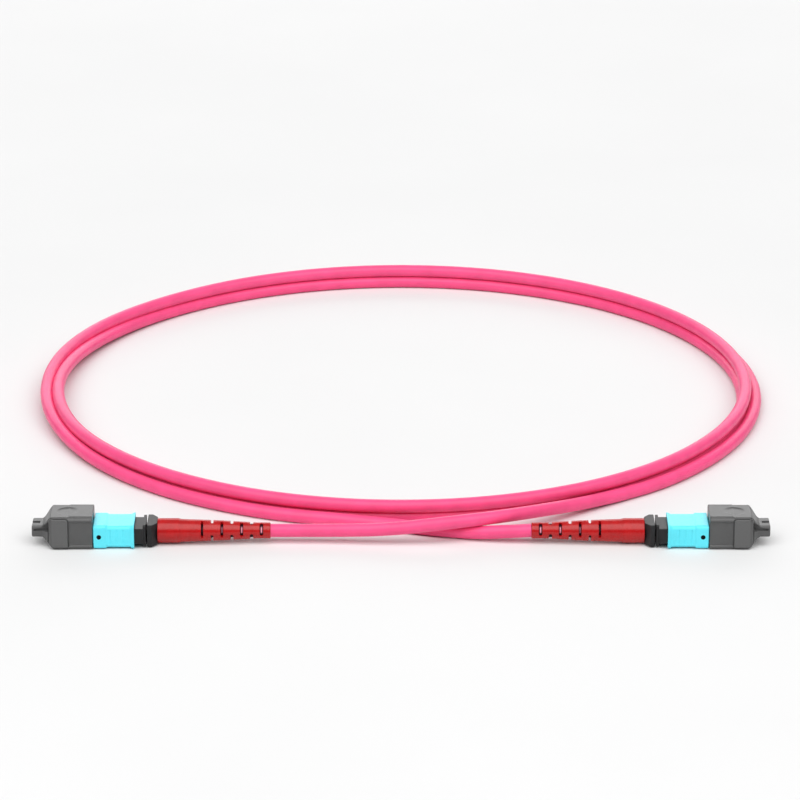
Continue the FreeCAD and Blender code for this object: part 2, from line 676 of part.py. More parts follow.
def place(shape, side):
    """Move a plug's piece from its own axis to the left or the right end of the cable."""
    if side < 0:
        shape.rotate(Vector(), UP, 180)
    shape.translate(Vector(side * PLUG_HALF_SPAN, 0, PLUG_AXIS_Z))
    return shape


def main():
    os.makedirs("parts", exist_ok=True)
    nodes = {"cable_coil": cable_coil()}
    for lead, side in (("left", -1), ("right", 1)):
        nodes[lead + "_lead"] = tube(lead + "_lead", lead_route(lead), CABLE_DIA)
        front_roll = SLOT_ROLL_DEG if side < 0 else 180 - SLOT_ROLL_DEG
        for name, shape in plug_pieces(front_roll).items():
            nodes[lead + "_" + name] = place(shape, side)
    for name, shape in nodes.items():
        shape.exportStep("parts/" + name + ".step")
        print(name, "solids", len(shape.Solids), "valid", shape.isValid(),
              "volume", round(shape.Volume, 2))


main()
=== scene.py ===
import json
import math

import bpy
import numpy as np
from bpy.props import FloatProperty, FloatVectorProperty, IntProperty, PointerProperty
from bpy.types import Operator, Panel, PropertyGroup
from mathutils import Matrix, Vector


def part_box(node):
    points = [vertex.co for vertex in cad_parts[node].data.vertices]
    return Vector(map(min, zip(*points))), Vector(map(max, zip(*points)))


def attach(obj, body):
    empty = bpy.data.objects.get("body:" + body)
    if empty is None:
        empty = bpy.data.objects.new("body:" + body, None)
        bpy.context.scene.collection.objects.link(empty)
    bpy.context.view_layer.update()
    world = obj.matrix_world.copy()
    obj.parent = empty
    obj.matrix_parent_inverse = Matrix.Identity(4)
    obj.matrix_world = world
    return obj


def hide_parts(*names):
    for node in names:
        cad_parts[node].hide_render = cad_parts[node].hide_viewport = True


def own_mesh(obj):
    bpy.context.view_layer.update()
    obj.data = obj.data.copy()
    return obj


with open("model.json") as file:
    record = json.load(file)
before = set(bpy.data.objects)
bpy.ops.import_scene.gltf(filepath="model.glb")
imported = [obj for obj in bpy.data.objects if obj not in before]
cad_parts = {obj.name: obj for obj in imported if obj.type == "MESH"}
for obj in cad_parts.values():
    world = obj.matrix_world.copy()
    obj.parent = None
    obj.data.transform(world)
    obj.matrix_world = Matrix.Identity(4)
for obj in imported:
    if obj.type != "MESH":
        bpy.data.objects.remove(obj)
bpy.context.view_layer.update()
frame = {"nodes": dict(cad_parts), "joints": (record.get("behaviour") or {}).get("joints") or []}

bl_info = {
    "name": "Fibre Optic Patch Cable",
    "version": (1, 0, 0),
    "blender": (4, 5, 0),
    "location": "View3D > Sidebar > Patch Cable",
    "description": "Dresses a coiled patch cable: jacket, boots, sleeves, dust caps and studio",
    "category": "Object",
}

NODES = frame["nodes"]
MM = 0.001
ENDS = (("left", -1.0), ("right", 1.0))

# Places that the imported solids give, in metres
BOOT_LOW, BOOT_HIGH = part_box("right_strain_relief_boot")
SLEEVE_LOW, SLEEVE_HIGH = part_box("right_coupling_sleeve")
CAP_LOW, CAP_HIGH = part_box("right_dust_cap")
COIL_LOW, COIL_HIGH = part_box("right_ferrule_spring")
SIDE_LOW, SIDE_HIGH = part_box("right_coupling_springs")
PLUG_MOUTH = BOOT_LOW.x
PLUG_AXIS = (BOOT_LOW.z + BOOT_HIGH.z) / 2

# Stations along a plug in millimetres, outward from the mouth of its boot
BOOT_END = (BOOT_HIGH.x - PLUG_MOUTH) / MM
SLEEVE_START = (SLEEVE_LOW.x - PLUG_MOUTH) / MM
SLEEVE_END = (SLEEVE_HIGH.x - PLUG_MOUTH) / MM
CAP_START = (CAP_LOW.x - PLUG_MOUTH) / MM
CAP_LENGTH = (CAP_HIGH.x - CAP_LOW.x) / MM
COIL_START = (COIL_LOW.x - PLUG_MOUTH) / MM
COIL_END = (COIL_HIGH.x - PLUG_MOUTH) / MM
SIDE_START = (SIDE_LOW.x - PLUG_MOUTH) / MM
SIDE_END = (SIDE_HIGH.x - PLUG_MOUTH) / MM

# The sizes of the pieces from here on are in millimetres.

# A boot: from its mouth, the radius outside and in the bore, and more stations near the bends
BOOT_OUTSIDE = ((0.0, 2.5), (4.2, 2.5), (15.5, 3.15), (27.8, 3.6), (28.7, 3.85), (BOOT_END, 3.85))
BOOT_BORE = ((0.0, 2.2), (BOOT_END - 11.16, 2.2), (BOOT_END - 11.14, 2.7),
             (BOOT_END - 6.16, 2.7), (BOOT_END - 6.14, 3.05), (BOOT_END, 3.05))
BOOT_STATIONS = (4.2, 26.0, 27.7, 27.9, 28.2, 28.5, 28.75, 31.0)
BOOT_MOUTH_EASE = 0.25
BOOT_BASE_EASE = 0.15
BOOT_STEP_DEG = 3.0
# A boot's slots: bevel across and down, half width where a slot closes, and the length of its
# round end in half widths
SLOT_BEVEL = 0.12
SLOT_BEVEL_DEPTH = 0.07
SLOT_LEAST = 0.03
SLOT_ROUND_END = 1.4

# A collar: from the boot, its half width in plan; more stations; half height, bore and edges
COLLAR_PLAN = ((0.0, 2.8), (1.7, 4.95), (3.1, 4.95))
COLLAR_STATIONS = (0.9, 1.7)
COLLAR_HALF_HEIGHT = 3.5
COLLAR_BORE = 2.0
COLLAR_CORNER = 0.35
COLLAR_EASE = 0.2
# How far a round bore's corner radius falls short, so that no face along it closes up
BORE_FLAT = 0.01

# A sleeve: half width and height, how far it grows from its rear rim on, edges and stations
SLEEVE_HALF = (6.2, 3.8)
SLEEVE_GROWTH = ((0.0, 0.1), (0.4, 0.1), (1.4, -0.3), (8.3, -0.3), (8.9, 0.0), (12.6, 0.0))
SLEEVE_CORNER = 1.1
SLEEVE_EASE = 0.18
SLEEVE_RIM = 0.25
SLEEVE_STEP = 0.1
# Its bore: half width and height, half width at the lip, where the lip starts, and the hook slots
SLEEVE_BORE = (5.45, 2.9)
SLEEVE_LIP_BORE = 4.9
SLEEVE_LIP_START = SLEEVE_END - 3.1
HOOK_SLOT_HALF = 1.6
SQUARE_CORNER = 0.05
# A sleeve's flutes: half width along it, and how softly they end below and above
FLUTE_HALF = 0.22
FLUTE_FADE = 0.5
# A printed dot: each ring's share of the radius and height of the ink, and the dot's own height
DOT_RINGS = ((0.97, -0.03), (1.0, 0.0), (0.97, 0.012), (0.5, 0.015))
DOT_HEIGHT = 0.15

# A dust cap: half width, half height and corner of its body and of its tail, how high the body's
# middle lies above the plug's axis, how far the tail's lies below that, and edges
CAP_BODY = (6.5, 5.3, 1.5)
CAP_TAIL = (3.8, 1.85, 0.7)
CAP_RISE = 1.275
CAP_TAIL_DROP = 0.225
CAP_MOUTH_EASE = 0.3
CAP_TAIL_EASE = 0.4
# Where the shoulders start at the sides, above and below, and where they end
CAP_SHOULDER = (12.1, 12.5, 11.9)
CAP_TAIL_START = 16.1
# The step down past the mouth's half: where it starts, how long and how deep it is
CAP_STEP_START = 7.3
CAP_STEP_LENGTH = 0.7
CAP_STEP_DEPTH = 0.12
# Stations along a cap: from, to and how far apart, closer where the skin changes
CAP_FIRST_STATIONS = (0.5, 6.9, 14)
CAP_STATIONS = ((7.0, 8.2, 0.06), (8.3, 13.0, 0.2), (13.0, 14.3, 0.06),
                (14.35, CAP_LENGTH - 0.45, 0.1))
# The side pads: how softly they rise, and the groove's depth, gap from the pad and half width
PAD_EDGE = 0.25
PAD_GROOVE_DEPTH = 0.3
PAD_GROOVE_GAP = 0.1
PAD_GROOVE_HALF = 0.11
# The mouth's half: its gap from the pads, its sunk side panels, and the line over their edges
MOUTH_HALF_GAP = 0.2
MOUTH_HALF_FADE = 0.15
PANEL_DEPTH = 0.3
PANEL_OVERLAP = 0.2
PANEL_EDGE = 0.25
LINE_DEPTH = 0.36
LINE_TURN = math.radians(82)
LINE_HALF = 0.17
# The slot in the top and the underside of the tail
TAIL_SLOT_DEPTH = 1.0
TAIL_SLOT_HALF = 0.85
TAIL_SLOT_LENGTH = 2.45
TAIL_SLOT_EDGE = 0.12
TAIL_SLOT_END = 0.15
# The hollows beside the tail: height of their top along the cap, their foot and what they leave
HOLLOW_TOP = ((13.9, 3.2), (15.6, 1.5), (CAP_LENGTH - 0.55, 0.75))
HOLLOW_TOP_EDGE = 0.1
HOLLOW_END_EDGE = 0.12
HOLLOW_FOOT = 0.25
HOLLOW_FOOT_EDGE = 0.25
HOLLOW_HALF_BETWEEN = 3.1
# The socket: half width, half height and depth, and its key way's half width, top and depth
CAP_SOCKET = (4.9, 2.9)
CAP_SOCKET_DEPTH = 8.3
CAP_KEY_WAY = (1.6, 3.7, 5.7)
KEY_WAY_STEP = 0.02
# How squarely a point of a section faces up to count as flat, and sideways to count as a side
FACES_UP = 0.99
FACES_SIDEWAYS = 0.1

# Springs: wire and turns of the coil, thickness, width and legs of the flat springs at the sides
COIL_WIRE = 0.35
COIL_TURNS = 4
STRIP_WIRE = 0.3
STRIP_WIDTH = 0.75
STRIP_LEGS = 7

# The coil's bundle: where it turns on the left side, over how much, and the first strand's slot
BUNDLE_TURNS = np.radians([270, 630, 990])
BUNDLE_TURN_SPAN = math.radians(90)
THIRD = math.radians(120)
FIRST_SLOT = math.radians(-30)
# The strand on top: after which pass, how soon it settles there, how steeply it would stand in an
# even bundle, and how much less steeply it stands at the front
TOP_PASS = 2
TOP_PASS_EASE = 0.12
EVEN_LEAN = math.radians(60)
FRONT_LEAN = math.radians(10)

# Listed points of the two leads, from each boot to the coil, in metres
LEFT_LEAD = (
    (-0.0406, 0.0, 0.004025),
    (-0.0240, 0.0, 0.004025),
    (-0.0040, -0.0016, 0.0049),
    (0.0130, -0.0013, 0.0069),
    (0.0330, 0.0048, 0.0069),
    (0.0645, 0.0307, 0.0021),
)
RIGHT_LEAD = (
    (0.0406, 0.0, 0.004025),
    (0.0330, 0.0, 0.0036),
    (0.0200, 0.0026, 0.0021),
    (-0.0132, 0.0127, 0.0021),
)

# Finishes: how far the gloss varies on plastic and on metal, how deep a moulded grain is in metres,
# the sockets of a Mix node for colours, and from which angle on an edge is sharp
GLOSS_SPREAD = 0.06
DRAWN_GLOSS_SPREAD = 0.1
GRAIN_DEPTH = 0.00005
MIX_SHARE, MIX_FIRST, MIX_SECOND, MIX_RESULT = 0, 6, 7, 2
SHARP_ANGLE = math.radians(35)

# The studio: floor and soft boxes in metres (size, and place from the plugs or the coil), the
# camera's sensor in millimetres, its shift in frame widths and how far it sees in metres
FLOOR_REACH = 6.0
STRIP_BOX_SIZE = (6.0, 2.8)
STRIP_BOX_PLACE = Vector((0.0, -1.3, 2.25))
BACK_BOX_SIZE = (2.6, 0.8)
BACK_BOX_PLACE = Vector((0.0, 1.5, 0.62))
SENSOR_WIDTH = 36.0
LENS_SHIFT = (-0.00125, -0.005)
FAR_LIMIT = 50.0


def srgb(red, green, blue):
    """Linear colour of a display colour given in steps of 0 to 255."""
    display = np.array([red, green, blue]) / 255
    low = display / 12.92
    high = ((display + 0.055) / 1.055) ** 2.4
    return tuple(np.where(display <= 0.04045, low, high).tolist())


class CableSettings(PropertyGroup):
    """Sizes and colour of the cable and of its coil."""

    diameter: FloatProperty(
        name="Diameter", description="Outside diameter of the jacket",
        default=0.0042, min=0.001, subtype="DISTANCE", unit="LENGTH")
    coil_radius: FloatProperty(
        name="Coil radius", description="Radius at the middle of the bundle of turns",
        default=0.118, min=0.02, subtype="DISTANCE", unit="LENGTH")
    coil_offset: FloatProperty(
        name="Coil offset", description="Distance of the coil's middle behind the plugs",
        default=0.1327, min=0.0, subtype="DISTANCE", unit="LENGTH")
    left_merge: FloatProperty(
        name="Left merge",
        description="Where the left plug's lead joins the coil, right of its front",
        default=math.radians(38), subtype="ANGLE", unit="ROTATION")
    right_merge: FloatProperty(
        name="Right merge",
        description="Where the right plug's lead joins the coil, left of its front",
        default=math.radians(12), subtype="ANGLE", unit="ROTATION")
    lean: FloatProperty(
        name="Lean", description="How steeply the top strand stands on the inner one",
        default=math.radians(80), subtype="ANGLE", unit="ROTATION")
    length: FloatProperty(
        name="Length", description="Length of cable between the two boots",
        default=2.31, min=0.1, subtype="DISTANCE", unit="LENGTH")
    points: IntProperty(
        name="Points", description="Control points over the three turns", default=54, min=36)
    jacket: FloatVectorProperty(
        name="Jacket", description="Colour of the jacket", subtype="COLOR",
        size=3, min=0.0, max=1.0, default=srgb(245, 83, 137))


class PlugSettings(PropertyGroup):
    """Colours of a plug's pieces, and the size and place of its printed dot."""

    boot: FloatVectorProperty(
        name="Boot", description="Colour of the strain relief boot", subtype="COLOR",
        size=3, min=0.0, max=1.0, default=srgb(178, 7, 12))
    sleeve: FloatVectorProperty(
        name="Sleeve", description="Colour of the coupling sleeve", subtype="COLOR",
        size=3, min=0.0, max=1.0, default=srgb(98, 230, 246))
    cap: FloatVectorProperty(
        name="Cap", description="Colour of the dust cap", subtype="COLOR",
        size=3, min=0.0, max=1.0, default=srgb(80, 80, 80))
    body: FloatVectorProperty(
        name="Body", description="Colour of the collar and the rear body", subtype="COLOR",
        size=3, min=0.0, max=1.0, default=srgb(38, 38, 39))
    dot_radius: FloatProperty(
        name="Dot radius", description="Radius of the printed dot on the sleeve",
        default=0.00074, min=0.0001, subtype="DISTANCE", unit="LENGTH")
    dot_setback: FloatProperty(
        name="Dot setback", description="Distance of the dot from the sleeve's front edge",
        default=0.0017, min=0.0, subtype="DISTANCE", unit="LENGTH")


class BootSettings(PropertyGroup):
    """Slots of the strain relief boot."""

    slots: IntProperty(name="Slots", description="Rows of slots along the boot", default=7, min=1)
    first: FloatProperty(
        name="First slot", description="Middle of the first row, from the boot's mouth",
        default=0.0028, subtype="DISTANCE", unit="LENGTH")
    pitch: FloatProperty(
        name="Pitch", description="From one row of slots to the next",
        default=0.00307, subtype="DISTANCE", unit="LENGTH")
    mouth_width: FloatProperty(
        name="Width at mouth", description="Width of a slot in the first row",
        default=0.0011, subtype="DISTANCE", unit="LENGTH")
    base_width: FloatProperty(
        name="Width at base", description="Width of a slot in the last row",
        default=0.00075, subtype="DISTANCE", unit="LENGTH")
    sweep: FloatProperty(
        name="Sweep", description="How far a slot reaches round the boot",
        default=math.radians(108), subtype="ANGLE", unit="ROTATION")
    roll: FloatProperty(
        name="Roll", description="Turn of the first row away from the side",
        default=math.radians(30), subtype="ANGLE", unit="ROTATION")


class SleeveSettings(PropertyGroup):
    """Flutes on the sides of the coupling sleeve."""

    flutes: IntProperty(name="Flutes", description="Flutes on each side", default=3, min=0)
    flute_first: FloatProperty(
        name="First flute", description="Middle of the first flute, from the rear rim",
        default=0.0034, subtype="DISTANCE", unit="LENGTH")
    flute_pitch: FloatProperty(
        name="Pitch", description="From one flute to the next",
        default=0.002, subtype="DISTANCE", unit="LENGTH")
    flute_depth: FloatProperty(
        name="Depth", description="Depth of a flute",
        default=0.0002, subtype="DISTANCE", unit="LENGTH")
    flute_reach: FloatProperty(
        name="Reach", description="Half the height of a flute",
        default=0.0026, subtype="DISTANCE", unit="LENGTH")


class CapSettings(PropertyGroup):
    """Grip pads and thumb dishes of the dust cap."""

    pad_start: FloatProperty(
        name="Pad start", description="Inner edge of the side pads, from the cap's mouth",
        default=0.0075, subtype="DISTANCE", unit="LENGTH")
    pad_length: FloatProperty(
        name="Pad length", description="Length of the side pads",
        default=0.0061, subtype="DISTANCE", unit="LENGTH")
    pad_height: FloatProperty(
        name="Pad height", description="Height of the side pads, measured over the round edges",
        default=0.0099, subtype="DISTANCE", unit="LENGTH")
    pad_corner: FloatProperty(
        name="Pad corner", description="Corner radius of the side pads",
        default=0.0011, subtype="DISTANCE", unit="LENGTH")
    pad_rise: FloatProperty(
        name="Pad rise", description="How far the side pads stand out",
        default=0.00025, subtype="DISTANCE", unit="LENGTH")
    dish_place: FloatProperty(
        name="Dish place", description="Middle of the thumb dishes, from the cap's mouth",
        default=0.0081, subtype="DISTANCE", unit="LENGTH")
    dish_radius: FloatProperty(
        name="Dish radius", description="Radius of a thumb dish at its rim",
        default=0.0032, subtype="DISTANCE", unit="LENGTH")
    dish_depth: FloatProperty(
        name="Dish depth", description="Depth of a thumb dish at its middle",
        default=0.00022, subtype="DISTANCE", unit="LENGTH")


class StageSettings(PropertyGroup):
    """The camera's place, the studio's light and the floor's colour."""

    elevation: FloatProperty(
        name="Elevation", description="Height of the camera above the horizon",
        default=math.radians(20.11), subtype="ANGLE", unit="ROTATION")
    distance: FloatProperty(
        name="Distance", description="From the camera to the middle of the coil",
        default=1.475, min=0.2, subtype="DISTANCE", unit="LENGTH")
    lens: FloatProperty(
        name="Lens", description="Focal length of the camera in millimetres",
        default=194.96, min=10.0)
    zenith: FloatProperty(
        name="Zenith", description="Strength of the white light from straight above",
        default=0.42, min=0.0)
    horizon: FloatProperty(
        name="Horizon", description="Strength of the white light from the sides",
        default=0.08, min=0.0)
    strip: FloatProperty(
        name="Strip", description="Power of the long soft box above and in front of the plugs",
        default=122.0, min=0.0, unit="POWER")
    back: FloatProperty(
        name="Back", description="Power of the soft box behind the coil",
        default=13.0, min=0.0, unit="POWER")
    floor: FloatVectorProperty(
        name="Floor", description="Colour of the floor", subtype="COLOR",
        size=3, min=0.0, max=1.0, default=(0.79, 0.79, 0.79))


def add_node(tree, kind, values=None, **settings):
    """One shader node with its settings and the values of its sockets."""
    node = tree.nodes.new(kind)
    for key, value in settings.items():
        setattr(node, key, value)
    for key, value in (values or {}).items():
        node.inputs[key].default_value = value
    return node


def new_material(name):
    """A node material with its tree, its shader and its Object coordinates."""
    material = bpy.data.materials.new(name)
    material.use_nodes = True
    tree = material.node_tree
    place = add_node(tree, "ShaderNodeTexCoord").outputs["Object"]
    return material, tree, tree.nodes["Principled BSDF"], place


def noise(tree, place, scale, detail=3.0):
    """A cloud of noise at a scale in waves per metre."""
    node = add_node(tree, "ShaderNodeTexNoise", {"Scale": scale, "Detail": detail})
    tree.links.new(place, node.inputs["Vector"])
    return node.outputs["Fac"]


def shade_between(tree, factor, deep, pale, low=0.35, high=0.65):
    """A colour that goes from deep to pale as the factor goes from low to high."""
    ramp = add_node(tree, "ShaderNodeValToRGB")
    first, last = ramp.color_ramp.elements
    first.position = low
    last.position = high
    first.color = (*deep, 1.0)
    last.color = (*pale, 1.0)
    tree.links.new(factor, ramp.inputs["Fac"])
    return ramp.outputs["Color"]


def spread(tree, factor, low, high, start=0.3, end=0.7):
    """A number that goes from low to high as the factor goes from start to end."""
    node = add_node(tree, "ShaderNodeMapRange", {
        "From Min": start, "From Max": end, "To Min": low, "To Max": high})
    tree.links.new(factor, node.inputs["Value"])
    return node.outputs["Result"]


def calculated(tree, operation, number, second=0.0):
    """What an operation gives for a number that varies over the surface and a fixed second one."""
    node = add_node(tree, "ShaderNodeMath", {1: second}, operation=operation)
    tree.links.new(number, node.inputs[0])
    return node.outputs[0]


def grain(tree, shader, height, strength, depth):
    """A bump of that depth in metres from a height between 0 and 1."""
    bump = add_node(tree, "ShaderNodeBump", {"Strength": strength, "Distance": depth})
    tree.links.new(height, bump.inputs["Height"])
    tree.links.new(bump.outputs["Normal"], shader.inputs["Normal"])


def scaled(colour, factor):
    """The same colour, darker or paler, kept within what a surface can reflect."""
    return tuple(min(channel * factor, 1.0) for channel in colour)


def moulded(name, colour, contrast, cloud, fine, roughness, bump, specular=0.5):
    """Moulded plastic: clouds of colour, and a fine grain in the gloss and in the surface. Cloud
    and fine are their scales in waves per metre."""
    material, tree, shader, place = new_material(name)
    shader.inputs["Specular IOR Level"].default_value = specular
    tint = shade_between(tree, noise(tree, place, cloud), scaled(colour, 1 - contrast),
                         scaled(colour, 1 + contrast))
    tree.links.new(tint, shader.inputs["Base Color"])
    texture = noise(tree, place, fine, detail=4.0)
    gloss = spread(tree, texture, roughness - GLOSS_SPREAD, roughness + GLOSS_SPREAD)
    tree.links.new(gloss, shader.inputs["Roughness"])
    grain(tree, shader, texture, bump, GRAIN_DEPTH)
    return material


def distance_along(tree, axis, middle=0.0):
    """Distance from the middle along one axis, on both sides, in metres."""
    place = add_node(tree, "ShaderNodeSeparateXYZ")
    tree.links.new(tree.nodes["Texture Coordinate"].outputs["Object"], place.inputs["Vector"])
    beyond = calculated(tree, "SUBTRACT", place.outputs[axis], middle)
    return calculated(tree, "ABSOLUTE", beyond)


def fade_to(material, distance, start, end, colour):
    """Change a material's colour to another one as a distance goes from start to end, in metres."""
    tree = material.node_tree
    tint = tree.nodes["Principled BSDF"].inputs["Base Color"]
    share = spread(tree, distance, 0.0, 1.0, start, end)
    mix = add_node(tree, "ShaderNodeMix", {MIX_SECOND: (*colour, 1.0)}, data_type="RGBA")
    tree.links.new(tint.links[0].from_socket, mix.inputs[MIX_FIRST])
    tree.links.new(share, mix.inputs[MIX_SHARE])
    tree.links.new(mix.outputs[MIX_RESULT], tint)


def jacket_material(colour):
    """Satin extruded jacket: faint clouds of colour, a fine grain and a soft gloss."""
    return moulded("jacket_pink", colour, contrast=0.05, cloud=160.0, fine=2600.0,
                   roughness=0.36, bump=0.10, specular=0.3)


def slot_shaded_jacket_material(colour, boot):
    """The jacket inside a boot, with painted light on it: a painted highlight in the middle of each
    slot at the sides, and painted shade towards the slots' edges and further in. The distance from
    the nearest row is a wave of the rows' pitch. The painted highlight lies a little above the
    plug's axis."""
    lift, share, rise = 0.26, 0.62, 0.0008
    # pale is a painted highlight and deep a painted shade, both made from the jacket's colour
    pale = tuple(lift + share * channel for channel in colour)
    deep = scaled(colour, 0.03)
    material = moulded("jacket_in_boot_painted_shade", pale, contrast=0.1, cloud=160.0, fine=2600.0,
                       roughness=0.5, bump=0.10, specular=0.1)
    tree = material.node_tree
    along = distance_along(tree, "X")
    from_first = calculated(tree, "SUBTRACT", along, PLUG_MOUTH + boot.first)
    from_row = calculated(tree, "PINGPONG", from_first, boot.pitch / 2)
    from_painted_highlight = distance_along(tree, "Z", PLUG_AXIS + rise)
    # Painted shade towards each slot's edges, away from the highlight's height, and deeper in the
    # boot
    fade_to(material, from_row, start=0.0001, end=0.0003, colour=deep)
    fade_to(material, from_painted_highlight, start=0.0006, end=0.001, colour=deep)
    fade_to(material, along, start=PLUG_MOUTH + 0.008, end=PLUG_MOUTH + 0.022, colour=deep)
    return material


def boot_material(colour):
    """Red moulded plastic with a clean gloss."""
    return moulded("boot_red", colour, contrast=0.08, cloud=420.0, fine=5200.0,
                   roughness=0.27, bump=0.06, specular=0.45)


def sleeve_material(colour):
    """Bright smooth moulded plastic, a little cloudy."""
    material = moulded("sleeve_aqua", colour, contrast=0.03, cloud=240.0, fine=4200.0,
                       roughness=0.30, bump=0.05, specular=0.3)
    shader = material.node_tree.nodes["Principled BSDF"]
    shader.inputs["Coat Weight"].default_value = 0.05
    return material


def cap_material(colour):
    """Soft grey plastic with a fine spark-eroded grain, and a painted highlight that makes the pads
    paler.
    """
    material = moulded("cap_grey", colour, contrast=0.06, cloud=300.0, fine=6500.0,
                       roughness=0.34, bump=0.16)
    # Painted highlight: the faces of the pads, which stand out past the sides, are painted paler
    fade_to(material, distance_along(material.node_tree, "Y"), start=0.00655, end=0.0067,
            colour=scaled(colour, 1.3))
    return material


def body_material(colour):
    """Black plastic, satin on its flats."""
    return moulded("body_black", colour, contrast=0.15, cloud=380.0, fine=5200.0,
                   roughness=0.34, bump=0.10, specular=0.2)


def ink_material():
    """Black printing ink, matt, with a faint unevenness."""
    return moulded("ink_black", srgb(6, 7, 10), contrast=0.3, cloud=900.0, fine=7000.0,
                   roughness=0.55, bump=0.10, specular=0.1)


def brushed(name, colour, along, roughness):
    """Drawn metal: fine lines along one axis, in colour, gloss and surface."""
    material, tree, shader, place = new_material(name)
    stretch = add_node(tree, "ShaderNodeMapping", {"Scale": along})
    tree.links.new(place, stretch.inputs["Vector"])
    lines = noise(tree, stretch.outputs["Vector"], scale=900.0, detail=5.0)
    tint = shade_between(tree, lines, scaled(colour, 0.8), scaled(colour, 1.1))
    gloss = spread(tree, lines, roughness - DRAWN_GLOSS_SPREAD, roughness + DRAWN_GLOSS_SPREAD)
    tree.links.new(tint, shader.inputs["Base Color"])
    tree.links.new(gloss, shader.inputs["Roughness"])
    shader.inputs["Metallic"].default_value = 1.0
    grain(tree, shader, lines, strength=0.15, depth=0.00002)
    return material


def yarn_material():
    """Yellow strength yarn: strands along the plug, with shade between them."""
    material, tree, shader, place = new_material("yarn_yellow")
    strands = add_node(tree, "ShaderNodeTexWave",
                       {"Scale": 900.0, "Distortion": 2.5, "Detail": 2.0, "Detail Scale": 2.0},
                       bands_direction="Z")
    tree.links.new(place, strands.inputs["Vector"])
    raised = strands.outputs["Fac"]
    tint = shade_between(tree, raised, srgb(150, 112, 32), srgb(236, 204, 104))
    tree.links.new(tint, shader.inputs["Base Color"])
    tree.links.new(spread(tree, raised, low=0.75, high=0.6), shader.inputs["Roughness"])
    grain(tree, shader, raised, strength=0.6, depth=0.0001)
    return material


def ribbon_material():
    """Clear coated ribbon: pale fibres side by side."""
    material, tree, shader, place = new_material("ribbon_clear")
    fibres = add_node(tree, "ShaderNodeTexWave", {"Scale": 640.0}, bands_direction="Y")
    tree.links.new(place, fibres.inputs["Vector"])
    raised = fibres.outputs["Fac"]
    tint = shade_between(tree, raised, srgb(168, 190, 182), srgb(238, 244, 238))
    tree.links.new(tint, shader.inputs["Base Color"])
    tree.links.new(spread(tree, raised, low=0.3, high=0.2), shader.inputs["Roughness"])
    shader.inputs["Coat Weight"].default_value = 0.4
    return material


def section_grid(flats_y, corners, flats_z):
    """Around a rectangle with round corners: where each point's flat lies, from -1 to 1 across and
    up, and which way its corner's radius points. Counter-clockwise from the right side."""
    side = np.linspace(-1, 1, flats_z, endpoint=False)
    top = np.linspace(1, -1, flats_y, endpoint=False)
    turn = np.linspace(0, np.pi / 2, corners, endpoint=False)
    one_side, one_turn, one_top = np.ones_like(side), np.ones_like(turn), np.ones_like(top)
    half_y = np.concatenate([one_side, one_turn, top, -one_turn])
    half_z = np.concatenate([side, one_turn, one_top, one_turn])
    half_ny = np.concatenate([one_side, np.cos(turn), 0 * top, -np.sin(turn)])
    half_nz = np.concatenate([0 * side, np.sin(turn), one_top, np.cos(turn)])
    return tuple(np.concatenate([half, -half]) for half in (half_y, half_z, half_ny, half_nz))


def sections(grid, along, half_width, half_height, corner, rise=0.0):
    """Rings of points: at each station along the axis, the rectangle with those half sizes and that
    corner radius. Point = flat place times (half size less corner) plus corner times direction."""
    across, up, normal_y, normal_z = grid
    along = np.asarray(along, float)
    half_width, half_height, corner, rise = (
        np.broadcast_to(size, along.shape)[:, None]
        for size in (half_width, half_height, corner, rise))
    y = (half_width - corner) * across + corner * normal_y
    z = (half_height - corner) * up + corner * normal_z + rise
    x = np.broadcast_to(along[:, None], y.shape)
    return np.stack([x, y, z], axis=-1)


def eased_end(radius, steps):
    """A quarter round over an end: how far in each ring lies, and how much smaller it is."""
    turn = np.linspace(0, np.pi / 2, steps)
    return radius * (1 - np.cos(turn)), radius * (1 - np.sin(turn))


def smooth(value):
    """0 below 0, 1 above 1, and an even S-curve between."""
    share = np.clip(value, 0, 1)
    return share * share * (3 - 2 * share)


def bell(distance, half):
    """A bell curve: 1 at its middle, and down to about a third at its half width on both sides."""
    return np.exp(-(distance / half) ** 2)


def shell(rings, first=0):
    """Points and faces over rings that each close on themselves, with a face over each end. The
    points are numbered from first."""
    count, around = rings.shape[:2]
    index = first + np.arange(count * around).reshape(count, around)
    beside = np.roll(index, -1, axis=1)
    quads = np.stack([index[:-1], beside[:-1], beside[1:], index[1:]], axis=-1)
    ends = [index[0, ::-1].tolist(), index[-1].tolist()]
    return rings.reshape(-1, 3), quads.reshape(-1, 4).tolist() + ends


def walled(outer, inner, keep=None):
    """Points and faces of a wall between an outer and an inner grid, which both close on themselves
    around. A face that keep leaves out is an opening. Each edge of a kept face that borders on an
    opening or on an end gets a face across the wall."""
    count, around = outer.shape[:2]
    if keep is None:
        keep = np.ones((count - 1, around), bool)
    index = np.arange(count * around).reshape(count, around)
    beside = np.roll(index, -1, axis=1)
    corners = np.stack([index[:-1], beside[:-1], beside[1:], index[1:]], axis=-1)
    through = count * around
    none = np.zeros((1, around), bool)
    neighbours = (
        np.concatenate([none, keep[:-1]]),
        np.roll(keep, -1, axis=1),
        np.concatenate([keep[1:], none]),
        np.roll(keep, 1, axis=1),
    )
    faces = [corners[keep], corners[keep][:, ::-1] + through]
    for edge, neighbour in enumerate(neighbours):
        rim = corners[keep & ~neighbour]
        start = rim[:, edge]
        end = rim[:, (edge + 1) % 4]
        faces.append(np.stack([end, start, start + through, end + through], axis=-1))
    points = np.concatenate([outer.reshape(-1, 3), inner.reshape(-1, 3)])
    return points, np.concatenate(faces).tolist()


def slot_stations(middle, opening):
    """Four stations for each slot: a bevel before it, its two edges and a bevel after it."""
    return np.stack([middle - opening - SLOT_BEVEL, middle - opening,
                     middle + opening, middle + opening + SLOT_BEVEL], axis=1)


def from_slot(angle, turn):
    """Angle from the nearer middle of a row's two slots, which lie half a turn apart."""
    return np.abs((angle - turn + np.pi / 2) % np.pi - np.pi / 2)


